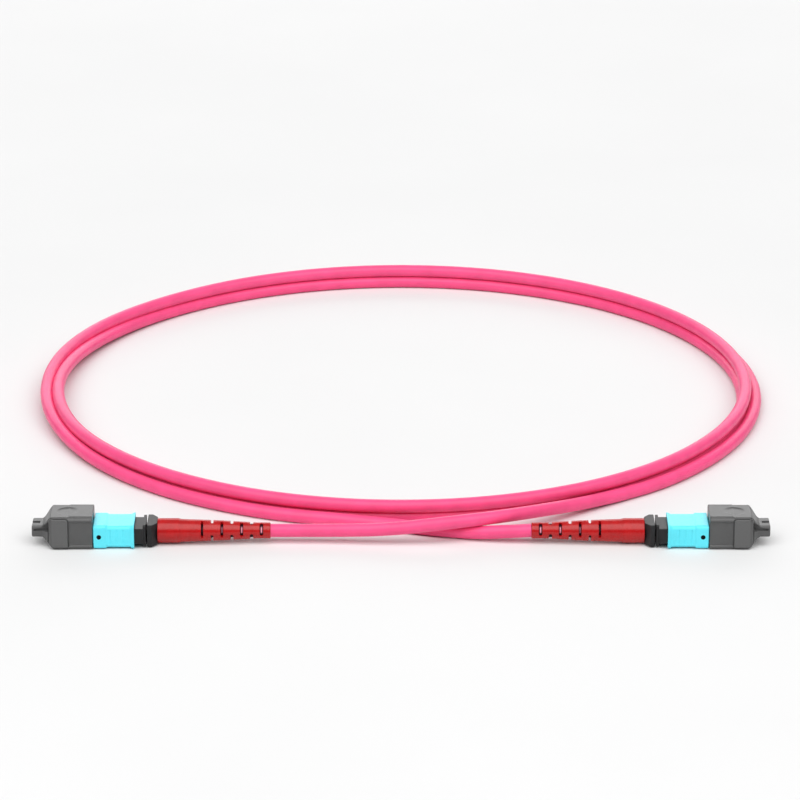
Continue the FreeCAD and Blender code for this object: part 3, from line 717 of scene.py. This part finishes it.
def boot_shell(boot, roll):
    """A turned boot with rows of slots that alternate a quarter turn. Around: the angle. Along: the
    stations of the outline, with four stations for each row, two on the slot's edges and two a
    bevel away. A slot's half width is constant, and over its last stretch round the boot it closes
    as a circle does, with the square root of one less the share squared."""
    angle = np.radians(np.arange(0, 360, BOOT_STEP_DEG))
    half_step = math.radians(BOOT_STEP_DEG / 2)
    outside = np.array(BOOT_OUTSIDE).T
    bore = np.array(BOOT_BORE).T
    number = np.arange(boot.slots)
    middle = (boot.first + boot.pitch * number)[:, None] / MM
    half = np.linspace(boot.mouth_width, boot.base_width, boot.slots)[:, None] / (2 * MM)
    turn = (roll + np.pi / 2 * (number % 2))[:, None]
    away = from_slot(angle, turn)
    round_end = SLOT_ROUND_END * half / np.interp(middle, *outside)
    share = np.clip((away - boot.sweep / 2) / round_end + 1, 0, 1)
    opening = np.maximum(half * np.sqrt(1 - share * share), SLOT_LEAST)
    rows = slot_stations(middle, opening)
    sunk = np.zeros_like(rows)
    sunk[:, 1:3] = SLOT_BEVEL_DEPTH * (away <= boot.sweep / 2 + half_step)[:, None]

    mouth_along, mouth_sunk = eased_end(BOOT_MOUTH_EASE, 5)
    base_along, base_sunk = eased_end(BOOT_BASE_EASE, 4)
    knots = np.concatenate([BOOT_STATIONS, bore[0, 1:-1]])
    plain = np.concatenate([mouth_along, knots, BOOT_END - base_along])[:, None]
    plain_sunk = np.concatenate([mouth_sunk, 0 * knots, base_sunk])[:, None]
    nominal = np.concatenate([plain.ravel(), slot_stations(middle, half).ravel()])
    order = np.argsort(nominal)
    width = np.ones_like(angle)
    along = np.concatenate([plain * width, rows.reshape(-1, len(angle))])[order]
    inset = np.concatenate([plain_sunk * width, sunk.reshape(-1, len(angle))])[order]
    keep = np.ones((len(along) - 1, len(angle)), bool)
    opened = np.searchsorted(nominal[order], (middle - half).ravel())
    keep[opened] = from_slot(angle + half_step, turn) > boot.sweep / 2
    radius = np.interp(along, *outside) - inset
    hollow = np.interp(along, *bore)
    outer = np.stack([along, radius * np.cos(angle), radius * np.sin(angle)], axis=-1)
    inner = np.stack([along, hollow * np.cos(angle), hollow * np.sin(angle)], axis=-1)
    return walled(outer, inner, keep)


def collar_shell():
    """A block with a round bore. Along: the plan's half widths, with eased ends. Around: a
    rectangle with slightly round corners."""
    grid = section_grid(flats_y=24, corners=5, flats_z=24)
    ends, shrink = eased_end(COLLAR_EASE, 4)
    plan = np.array(COLLAR_PLAN).T
    run = np.array(COLLAR_STATIONS)
    along = np.concatenate([ends, run, plan[0, -1] - ends[::-1]])
    shrink = np.concatenate([shrink, 0 * run, shrink[::-1]])
    outer = sections(grid, BOOT_END + along, np.interp(along, *plan) - shrink,
                     COLLAR_HALF_HEIGHT - shrink, COLLAR_CORNER)
    inner = sections(grid, BOOT_END + along, COLLAR_BORE, COLLAR_BORE, COLLAR_BORE - BORE_FLAT)
    return walled(outer, inner)


def sleeve_shell(sleeve):
    """A waisted tube. Along: the stations, where the section grows or shrinks by the growth there.
    Around: a rectangle with round corners. A flute sinks the sides by a bell curve along the
    sleeve, and fades towards the corners. The bore is square, and narrower at the lip but for the
    hook slots."""
    grid = section_grid(flats_y=36, corners=10, flats_z=44)
    ends, shrink = eased_end(SLEEVE_EASE, 4)
    run = np.arange(SLEEVE_START + SLEEVE_RIM, SLEEVE_END - SLEEVE_RIM, SLEEVE_STEP)
    along = np.concatenate([SLEEVE_START + ends, run, SLEEVE_END - ends[::-1]])
    growth = np.interp(along - SLEEVE_START, *np.array(SLEEVE_GROWTH).T)
    growth -= np.concatenate([shrink, 0 * run, shrink[::-1]])
    half_width, half_height = SLEEVE_HALF
    outer = sections(grid, along, half_width + growth, half_height + growth, SLEEVE_CORNER)
    number = np.arange(sleeve.flutes)
    middles = SLEEVE_START + (sleeve.flute_first + sleeve.flute_pitch * number) / MM
    bells = bell(along[:, None] - middles, FLUTE_HALF).sum(axis=1)[:, None]
    fade = smooth((sleeve.flute_reach / MM - np.abs(outer[..., 2])) / FLUTE_FADE)
    outer[..., 1] -= sleeve.flute_depth / MM * bells * fade * np.sign(outer[..., 1])
    bore_width, bore_height = SLEEVE_BORE
    wide = sections(grid, along, bore_width, bore_height, SQUARE_CORNER)
    narrow = sections(grid, along, SLEEVE_LIP_BORE, bore_height, SQUARE_CORNER)
    lip = (along[:, None] > SLEEVE_LIP_START) & (np.abs(wide[..., 2]) > HOOK_SLOT_HALF)
    return walled(outer, np.where(lip[..., None], narrow, wide))


def dot_shell(plug, side):
    """A printed dot: a thin disc on the sleeve's side that faces the viewer. Rings of the dot's
    radius, raised by the ink's thickness, run in to its middle."""
    angle = np.linspace(0, 2 * np.pi, 48, endpoint=False)
    share, raised = np.array(DOT_RINGS).T[..., None]
    radius = share * plug.dot_radius / MM
    outward = -side
    along = SLEEVE_END - plug.dot_setback / MM + radius * np.cos(angle)
    across = outward * (SLEEVE_HALF[0] + raised) + 0 * angle
    up = DOT_HEIGHT - outward * radius * np.sin(angle)
    return shell(np.stack([along, across, up], axis=-1))


def cap_sections(along):
    """Half width, half height, corner and rise along a cap, and how far it lies below the mouth's
    half: the body, a step down past that half, and shoulders on the sides, the top and the
    underside that run into the tail on an even S-curve."""
    start = np.array(CAP_SHOULDER)[:, None]
    side, above, below = smooth((along - start) / (CAP_TAIL_START - start))
    body_width, body_height, body_corner = CAP_BODY
    tail_width, tail_height, tail_corner = CAP_TAIL
    fall = body_height - tail_height
    top = CAP_RISE + body_height - (fall + CAP_TAIL_DROP) * above
    under = CAP_RISE - body_height + (fall - CAP_TAIL_DROP) * below
    width = body_width + (tail_width - body_width) * side
    corner = body_corner + (tail_corner - body_corner) * side
    step = CAP_STEP_DEPTH * smooth((along - CAP_STEP_START) / CAP_STEP_LENGTH) * (1 - side)
    return width, (top - under) / 2, corner, (top + under) / 2, step


def rounded_box_depth(u, v, middle, half_u, half_v, corner):
    """How far inside a rectangle with round corners a place lies, below 0 outside it."""
    beyond_u = np.abs(u - middle) - (half_u - corner)
    beyond_v = v - (half_v - corner)
    outside = np.hypot(np.maximum(beyond_u, 0), np.maximum(beyond_v, 0))
    return corner - outside - np.minimum(np.maximum(beyond_u, beyond_v), 0)


def side_relief(cap, u, girth, flat, edge):
    """How far a cap's skin stands out, from the place along it and the way round from the middle of
    a side. Out over the pads, in along the groove round a pad, and on the mouth's half in over the
    side panels and along a line above them. Edges are S-curves and grooves are bell curves."""
    pad_middle = (cap.pad_start + cap.pad_length / 2) / MM
    inside = rounded_box_depth(u, girth, pad_middle, cap.pad_length / (2 * MM),
                               cap.pad_height / (2 * MM), cap.pad_corner / MM)
    relief = cap.pad_rise / MM * smooth(inside / PAD_EDGE)
    relief -= PAD_GROOVE_DEPTH * bell(inside + PAD_GROOVE_GAP, PAD_GROOVE_HALF)
    mouth_half = smooth((cap.pad_start / MM - MOUTH_HALF_GAP - u) / MOUTH_HALF_FADE)
    relief -= LINE_DEPTH * bell(girth - (flat + edge * LINE_TURN), LINE_HALF) * mouth_half
    relief -= PANEL_DEPTH * smooth((flat + PANEL_OVERLAP - girth) / PANEL_EDGE) * mouth_half
    return relief


def cap_skin(cap, grid):
    """The outside of a cap, from its mouth to its tail. Around: a rectangle with round corners. The
    skin is moved along its own direction by the relief of the sides, down in the thumb dishes by
    the depth times one less the sixth power of the radius' share, down in the tail's slots, and in
    at the hollows beside the tail."""
    across, up, normal_y, normal_z = grid
    mouth, mouth_shrink = eased_end(CAP_MOUTH_EASE, 5)
    tail, tail_shrink = eased_end(CAP_TAIL_EASE, 6)
    run = np.concatenate([np.linspace(*CAP_FIRST_STATIONS),
                          *(np.arange(*stretch) for stretch in CAP_STATIONS)])
    along = np.concatenate([mouth, run, CAP_LENGTH - tail[::-1]])
    shrink = np.concatenate([mouth_shrink, 0 * run, tail_shrink[::-1]])
    width, height, corner, rise, step = cap_sections(along)
    skin = sections(grid, along, width - shrink, height - shrink, corner, rise)

    u, edge, step = along[:, None], corner[:, None], step[:, None]
    flat_z, flat_y = (height - corner)[:, None], (width - corner)[:, None]
    bend = np.arctan2(np.abs(normal_z), np.abs(normal_y))
    girth = np.abs(up) * flat_z + edge * bend + flat_y * (1 - np.abs(across))
    relief = side_relief(cap, u, girth, flat_z, edge)
    skin[..., 1] += relief * normal_y
    skin[..., 2] += relief * normal_z

    level = skin[..., 2] - rise[:, None]
    spot = ((u - cap.dish_place / MM) ** 2 + skin[..., 1] ** 2) / (cap.dish_radius / MM) ** 2
    dish = step + cap.dish_depth / MM * (1 - np.minimum(spot, 1) ** 3)
    slot = TAIL_SLOT_DEPTH * smooth((TAIL_SLOT_HALF - np.abs(skin[..., 1])) / TAIL_SLOT_EDGE)
    slot = slot * smooth((u - CAP_LENGTH + TAIL_SLOT_LENGTH) / TAIL_SLOT_END)
    sunk = np.where(np.abs(normal_z) > FACES_UP, dish + slot, step * np.abs(normal_z))
    skin[..., 2] -= np.sign(level) * sunk

    start, end = HOLLOW_TOP[0][0], HOLLOW_TOP[-1][0]
    top = np.interp(u, *np.array(HOLLOW_TOP).T)
    hollow = smooth((level - HOLLOW_FOOT) / HOLLOW_FOOT_EDGE)
    hollow = hollow * smooth((top - level) / HOLLOW_TOP_EDGE + 0.5)
    hollow = hollow * smooth((u - start) / HOLLOW_END_EDGE + 0.5)
    hollow = hollow * smooth((end - u) / HOLLOW_END_EDGE)
    excess = np.maximum(np.abs(skin[..., 1]) - HOLLOW_HALF_BETWEEN, 0) * hollow
    skin[..., 1] -= np.sign(skin[..., 1]) * excess * (np.abs(normal_y) > FACES_SIDEWAYS)
    return skin


def cap_shell(cap):
    """A moulded cap: rings from the socket's floor out to the mouth, and back over the skin to the
    tail. The socket is a square hole, raised along its top by the key way near the mouth."""
    grid = section_grid(flats_y=60, corners=20, flats_z=44)
    normal_z = grid[-1]
    key_half, key_top, key_depth = CAP_KEY_WAY
    depth = np.array([CAP_SOCKET_DEPTH, key_depth + KEY_WAY_STEP, key_depth - KEY_WAY_STEP, 0.0])
    socket = sections(grid, depth, *CAP_SOCKET, SQUARE_CORNER)
    way = (depth[:, None] < key_depth) & (np.abs(socket[..., 1]) < key_half)
    socket[..., 2] = np.where(way & (normal_z > FACES_UP), key_top, socket[..., 2])
    rings = np.concatenate([socket, cap_skin(cap, grid)])
    rings[..., 0] += CAP_START
    return shell(rings)


def drawn(path, across, outline):
    """Rings of an outline that is carried along a path. Its first axis is the given direction
    across the path, and its second is the path's own direction crossed with that."""
    ahead = np.gradient(path, axis=0)
    ahead = ahead / np.linalg.norm(ahead, axis=1, keepdims=True)
    over = np.cross(ahead, across)
    first, second = outline[:, 0, None], outline[:, 1, None]
    return path[:, None] + first * across[:, None] + second * over[:, None]


def coil_spring_shell():
    """A coil of round wire: the path goes along evenly while its angle turns, at the radius of the
    wire's middle, and the outline is a circle."""
    half = COIL_WIRE / 2
    radius = COIL_HIGH.y / MM - half
    turn = np.linspace(0, 2 * np.pi * COIL_TURNS, 48 * COIL_TURNS + 1)
    along = np.linspace(COIL_START + half, COIL_END - half, len(turn))
    across = np.column_stack([0 * turn, np.cos(turn), np.sin(turn)])
    path = np.column_stack([along, radius * across[:, 1], radius * across[:, 2]])
    angle = np.linspace(0, 2 * np.pi, 12, endpoint=False)
    outline = np.column_stack([np.cos(angle), np.sin(angle)]) * half
    return shell(drawn(path, across, outline))


def side_springs_shell():
    """A pair of flat springs, one at each side. The path is a row of straight legs, joined by half
    circles at the top and the bottom in turn, and the outline is a strip with round edges."""
    half = STRIP_WIRE / 2
    leg = np.linspace(SIDE_START + half, SIDE_END - half, STRIP_LEGS)[:, None]
    bend = (leg[1, 0] - leg[0, 0]) / 2
    straight = (SIDE_HIGH.z - SIDE_LOW.z) / (2 * MM) - half - bend
    turn = np.linspace(np.pi, 0, 12, endpoint=False)
    upward = np.where(np.arange(STRIP_LEGS) % 2, -1.0, 1.0)[:, None]
    along = np.concatenate([leg, leg + bend * (1 + np.cos(turn))], axis=1)
    height = upward * (straight + bend * np.sin(turn))
    height = np.concatenate([-straight * upward, height], axis=1)
    last = along.size - len(turn) + 1
    path = np.column_stack([along.ravel(), 0 * along.ravel(), height.ravel()])[:last]
    across = np.zeros_like(path)
    across[:, 1] = 1.0
    grid = section_grid(flats_y=4, corners=4, flats_z=2)
    strip = sections(grid, [0.0], STRIP_WIDTH / 2, half, STRIP_WIRE / 3)
    rings = drawn(path, across, strip[0, :, 1:])
    offset = np.array([0.0, SIDE_HIGH.y / MM - STRIP_WIDTH / 2, 0.0])
    near_points, near_faces = shell(rings - offset)
    far_points, far_faces = shell(rings + offset, first=len(near_points))
    return np.concatenate([near_points, far_points]), near_faces + far_faces


def add_piece(name, surface, side, material, body):
    """One mesh from a surface's points and faces, moved from a plug's own axis in millimetres to
    its end of the cable in metres. The left plug is turned half round."""
    points, faces = surface
    mouth = np.array([side * PLUG_MOUTH, 0.0, PLUG_AXIS])
    placed = points * np.array([side, side, 1.0]) * MM + mouth
    mesh = bpy.data.meshes.new(name)
    mesh.from_pydata(placed.tolist(), [], faces)
    mesh.shade_smooth()
    mesh.set_sharp_from_angle(angle=SHARP_ANGLE)
    mesh.materials.append(material)
    piece = bpy.data.objects.new(name, mesh)
    bpy.context.scene.collection.objects.link(piece)
    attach(piece, body)
    return piece


def finish_nodes(material, name):
    """Give a material to a CAD node that stays as it is, on both plugs."""
    for end, _ in ENDS:
        materials = NODES[end + "_" + name].data.materials
        materials.clear()
        materials.append(material)


def coil_points(cable):
    """Control points of three turns. A strand keeps its slot in the bundle (outer, inner or top),
    and at each pass of the left side the bundle turns by a third, so that outer becomes inner,
    inner becomes top and top becomes outer. The slot's angle about the bundle's middle gives the
    radius by its cosine and the height by its sine. The top strand leans on the inner one, a little
    more at the front. On a curve of this order a circle's points lie outside it by one over the
    cosine of half a step."""
    step = (6 * np.pi - cable.left_merge - cable.right_merge) / cable.points
    angle = cable.left_merge + step * (np.arange(cable.points) + 0.5)
    past = (angle[:, None] - BUNDLE_TURNS) / BUNDLE_TURN_SPAN
    passes = smooth(past + 0.5).sum(axis=1)
    slot = FIRST_SLOT - THIRD * passes
    reach = cable.diameter / math.sqrt(3)
    lowest = np.min(np.sin(slot[:, None] + THIRD * np.arange(3)), axis=1)
    on_top = smooth(1 - np.abs(passes - TOP_PASS) / TOP_PASS_EASE) * cable.diameter
    lean = cable.lean - FRONT_LEAN * np.cos(angle)
    outward = reach * np.cos(slot) + on_top * (np.cos(lean) - math.cos(EVEN_LEAN))
    height = cable.diameter / 2 + reach * (np.sin(slot) - lowest)
    height += on_top * (np.sin(lean) - math.sin(EVEN_LEAN))
    radius = (cable.coil_radius + outward) / math.cos(step / 2)
    behind = cable.coil_offset - radius * np.cos(angle)
    return np.column_stack([radius * np.sin(angle), behind, height])


class PATCH_OT_lay_cable(Operator):
    """Lay the cable from boot to boot: a lead, three turns of coil and the other lead"""

    bl_idname = "patch_cable.lay_cable"
    bl_label = "Lay Cable"

    def execute(self, context):
        cable = context.scene.patch_cable
        route = np.concatenate([LEFT_LEAD, coil_points(cable), RIGHT_LEAD[::-1]])
        curve = bpy.data.curves.new("cable", "CURVE")
        curve.dimensions = "3D"
        curve.bevel_depth = cable.diameter / 2
        curve.bevel_resolution = 8
        curve.use_fill_caps = True
        spline = curve.splines.new("NURBS")
        spline.points.add(len(route) - 1)
        spline.points.foreach_set("co", np.column_stack([route, np.ones(len(route))]).ravel())
        spline.order_u = 3
        spline.use_endpoint_u = True
        spline.resolution_u = 14
        curve.materials.append(jacket_material(cable.jacket))
        piece = bpy.data.objects.new("cable", curve)
        context.scene.collection.objects.link(piece)
        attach(piece, "cable")
        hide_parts("cable_coil", "left_lead", "right_lead")
        finish_nodes(slot_shaded_jacket_material(cable.jacket, context.scene.patch_boot), "jacket_end")
        return {"FINISHED"}


class PATCH_OT_dress_boots(Operator):
    """Make the slotted strain relief boots and finish the crimp and the yarn inside them"""

    bl_idname = "patch_cable.dress_boots"
    bl_label = "Dress Boots"

    def execute(self, context):
        boot = context.scene.patch_boot
        material = boot_material(context.scene.patch_plug.boot)
        for end, side in ENDS:
            roll = boot.roll if side < 0 else math.pi - boot.roll
            piece = add_piece(end + "_boot", boot_shell(boot, roll), side, material,
                              "cable")
            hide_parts(end + "_strain_relief_boot")
        crimp = brushed("crimp_metal", srgb(205, 205, 208), along=(1.0, 0.1, 0.1), roughness=0.35)
        finish_nodes(crimp, "crimp_ring")
        finish_nodes(yarn_material(), "strength_yarn")
        return {"FINISHED"}


class PATCH_OT_dress_bodies(Operator):
    """Make the black collars and finish the rear bodies"""

    bl_idname = "patch_cable.dress_bodies"
    bl_label = "Dress Bodies"

    def execute(self, context):
        material = body_material(context.scene.patch_plug.body)
        finish_nodes(material, "spring_push")
        for end, side in ENDS:
            piece = add_piece(end + "_collar", collar_shell(), side, material,
                              "cable")
            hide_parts(end + "_boot_collar")
        return {"FINISHED"}


class PATCH_OT_dress_sleeves(Operator):
    """Make the sliding sleeves and print their dots"""

    bl_idname = "patch_cable.dress_sleeves"
    bl_label = "Dress Sleeves"

    def execute(self, context):
        plug = context.scene.patch_plug
        material = sleeve_material(plug.sleeve)
        ink = ink_material()
        for end, side in ENDS:
            body = end + "_sleeve"
            piece = add_piece(end + "_grip_sleeve", sleeve_shell(context.scene.patch_sleeve), side,
                              material, body)
            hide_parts(end + "_coupling_sleeve")
            add_piece(end + "_sleeve_dot", dot_shell(plug, side), side, ink, body)
        return {"FINISHED"}


class PATCH_OT_dress_caps(Operator):
    """Make the moulded dust caps"""

    bl_idname = "patch_cable.dress_caps"
    bl_label = "Dress Caps"

    def execute(self, context):
        material = cap_material(context.scene.patch_plug.cap)
        for end, side in ENDS:
            piece = add_piece(end + "_pull_cap", cap_shell(context.scene.patch_cap), side, material,
                              end + "_cap")
            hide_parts(end + "_dust_cap")
        return {"FINISHED"}


class PATCH_OT_dress_inner_pieces(Operator):
    """Finish the housing, the ferrule and the pieces behind it"""

    bl_idname = "patch_cable.dress_inner_pieces"
    bl_label = "Dress Inner Pieces"

    def execute(self, context):
        aqua = scaled(context.scene.patch_plug.sleeve, 0.85)
        finish_nodes(moulded("housing_aqua", aqua, contrast=0.03, cloud=240.0, fine=4200.0,
                             roughness=0.40, bump=0.08), "inner_housing")
        finish_nodes(moulded("ferrule_dark", srgb(46, 46, 50), contrast=0.2, cloud=1500.0,
                             fine=9000.0, roughness=0.45, bump=0.2), "ferrule")
        finish_nodes(moulded("ferrule_rubber", srgb(38, 38, 38), contrast=0.1, cloud=600.0,
                             fine=5000.0, roughness=0.7, bump=0.25), "ferrule_boot")
        finish_nodes(moulded("clamp_black", srgb(42, 42, 46), contrast=0.1, cloud=600.0,
                             fine=5000.0, roughness=0.5, bump=0.2), "pin_clamp")
        finish_nodes(ribbon_material(), "fibre_ribbon")
        return {"FINISHED"}


class PATCH_OT_fit_springs(Operator):
    """Make the springs behind the ferrules and beside the housings, and give each one that a joint
    presses a mesh of its own
    """

    bl_idname = "patch_cable.fit_springs"
    bl_label = "Fit Springs"

    def execute(self, context):
        steel = brushed("spring_steel", srgb(190, 190, 194), along=(0.1, 1.0, 1.0), roughness=0.28)
        springs = {}
        for end, side in ENDS:
            springs[end + "_ferrule_spring"] = add_piece(
                end + "_coil_spring", coil_spring_shell(), side, steel, "cable")
            springs[end + "_coupling_springs"] = add_piece(
                end + "_side_springs", side_springs_shell(), side, steel, "cable")
        for joint in frame["joints"]:
            for pressed in joint.get("deforming_nodes", ()):
                node, fixed = pressed["node"], pressed["fixed_end_x_m"]
                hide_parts(node)
                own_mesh(springs[node])
        return {"FINISHED"}


class PATCH_OT_set_stage(Operator):
    """Set the pale floor, the soft white light and the camera"""

    bl_idname = "patch_cable.set_stage"
    bl_label = "Set Stage"

    def execute(self, context):
        stage = context.scene.patch_stage
        middle = Vector((0.0, context.scene.patch_cable.coil_offset, 0.0))
        add_floor(stage.floor, middle)
        add_light(stage, middle)
        add_camera(stage, middle)
        return {"FINISHED"}


def add_floor(colour, middle):
    """A wide flat sheet, a single colour but for a faint mottle."""
    corner = np.array([[-1, -1], [1, -1], [1, 1], [-1, 1]]) * FLOOR_REACH
    points = np.column_stack([corner + np.array(middle.xy), np.zeros(4)])
    mesh = bpy.data.meshes.new("floor")
    mesh.from_pydata(points.tolist(), [], [[0, 1, 2, 3]])
    material, tree, shader, place = new_material("floor_pale")
    mottle = noise(tree, place, scale=6.0)
    tint = shade_between(tree, mottle, scaled(colour, 0.99), scaled(colour, 1.01))
    tree.links.new(tint, shader.inputs["Base Color"])
    shader.inputs["Roughness"].default_value = 0.9
    shader.inputs["Specular IOR Level"].default_value = 0.1
    mesh.materials.append(material)
    floor = bpy.data.objects.new("floor", mesh)
    bpy.context.scene.collection.objects.link(floor)


def add_light(stage, middle):
    """White light from all round, stronger towards the zenith, a long soft box above and in front
    of the plugs, and a wide one behind the coil."""
    world = bpy.data.worlds.new("studio")
    world.use_nodes = True
    tree = world.node_tree
    sky = tree.nodes["Background"]
    sky.inputs["Color"].default_value = (1.0, 1.0, 1.0, 1.0)
    place = add_node(tree, "ShaderNodeTexCoord")
    parts = add_node(tree, "ShaderNodeSeparateXYZ")
    tree.links.new(place.outputs["Generated"], parts.inputs["Vector"])
    lift = spread(tree, parts.outputs["Z"], stage.horizon, stage.zenith, start=0.0, end=1.0)
    tree.links.new(lift, sky.inputs["Strength"])
    bpy.context.scene.world = world
    plugs = Vector((middle.x, 0.0, PLUG_AXIS))
    add_soft_box("strip", stage.strip, STRIP_BOX_SIZE, plugs + STRIP_BOX_PLACE, plugs)
    add_soft_box("behind", stage.back, BACK_BOX_SIZE, middle + BACK_BOX_PLACE, middle)


def add_soft_box(name, power, size, place, target):
    """A rectangular light that faces its target."""
    box = bpy.data.lights.new(name, "AREA")
    box.shape = "RECTANGLE"
    box.size, box.size_y = size
    box.energy = power
    lamp = bpy.data.objects.new(name, box)
    lamp.location = place
    lamp.rotation_euler = (target - place).to_track_quat("-Z", "Y").to_euler()
    bpy.context.scene.collection.objects.link(lamp)


def add_camera(stage, middle):
    """A long lens in front of the plugs, looking down at the middle of the coil."""
    scene = bpy.context.scene
    lens = bpy.data.cameras.new("camera")
    lens.lens = stage.lens
    lens.sensor_width = SENSOR_WIDTH
    lens.shift_x, lens.shift_y = LENS_SHIFT
    lens.clip_end = FAR_LIMIT
    camera = bpy.data.objects.new("camera", lens)
    back = Vector((0.0, -math.cos(stage.elevation), math.sin(stage.elevation)))
    camera.location = middle + back * stage.distance
    camera.rotation_euler = (math.pi / 2 - stage.elevation, 0.0, 0.0)
    scene.collection.objects.link(camera)
    scene.camera = camera
    scene.view_settings.view_transform = "Standard"


class PATCH_PT_panel(Panel):
    """The patch cable's pieces and settings"""

    bl_idname = "PATCH_PT_panel"
    bl_label = "Patch Cable"
    bl_space_type = "VIEW_3D"
    bl_region_type = "UI"
    bl_category = "Patch Cable"

    def draw(self, context):
        layout = self.layout
        for group in SETTINGS:
            settings = getattr(context.scene, group)
            box = layout.box()
            for name in settings.__annotations__:
                box.prop(settings, name)
        for operator in OPERATORS:
            layout.operator(operator.bl_idname)


OPERATORS = (
    PATCH_OT_lay_cable,
    PATCH_OT_dress_boots,
    PATCH_OT_dress_bodies,
    PATCH_OT_dress_sleeves,
    PATCH_OT_dress_caps,
    PATCH_OT_dress_inner_pieces,
    PATCH_OT_fit_springs,
    PATCH_OT_set_stage,
)
SETTINGS = {
    "patch_cable": CableSettings,
    "patch_plug": PlugSettings,
    "patch_boot": BootSettings,
    "patch_sleeve": SleeveSettings,
    "patch_cap": CapSettings,
    "patch_stage": StageSettings,
}


def register():
    for kind in (*SETTINGS.values(), *OPERATORS, PATCH_PT_panel):
        bpy.utils.register_class(kind)
    for name, kind in SETTINGS.items():
        setattr(bpy.types.Scene, name, PointerProperty(type=kind))


def unregister():
    for name in SETTINGS:
        delattr(bpy.types.Scene, name)
    for kind in (PATCH_PT_panel, *reversed(OPERATORS), *SETTINGS.values()):
        bpy.utils.unregister_class(kind)


def main():
    register()
    bpy.ops.patch_cable.lay_cable()
    bpy.ops.patch_cable.dress_boots()
    bpy.ops.patch_cable.dress_bodies()
    bpy.ops.patch_cable.dress_sleeves()
    bpy.ops.patch_cable.dress_caps()
    bpy.ops.patch_cable.dress_inner_pieces()
    bpy.ops.patch_cable.fit_springs()
    bpy.ops.patch_cable.set_stage()


if __name__ == "__main__":
    main()
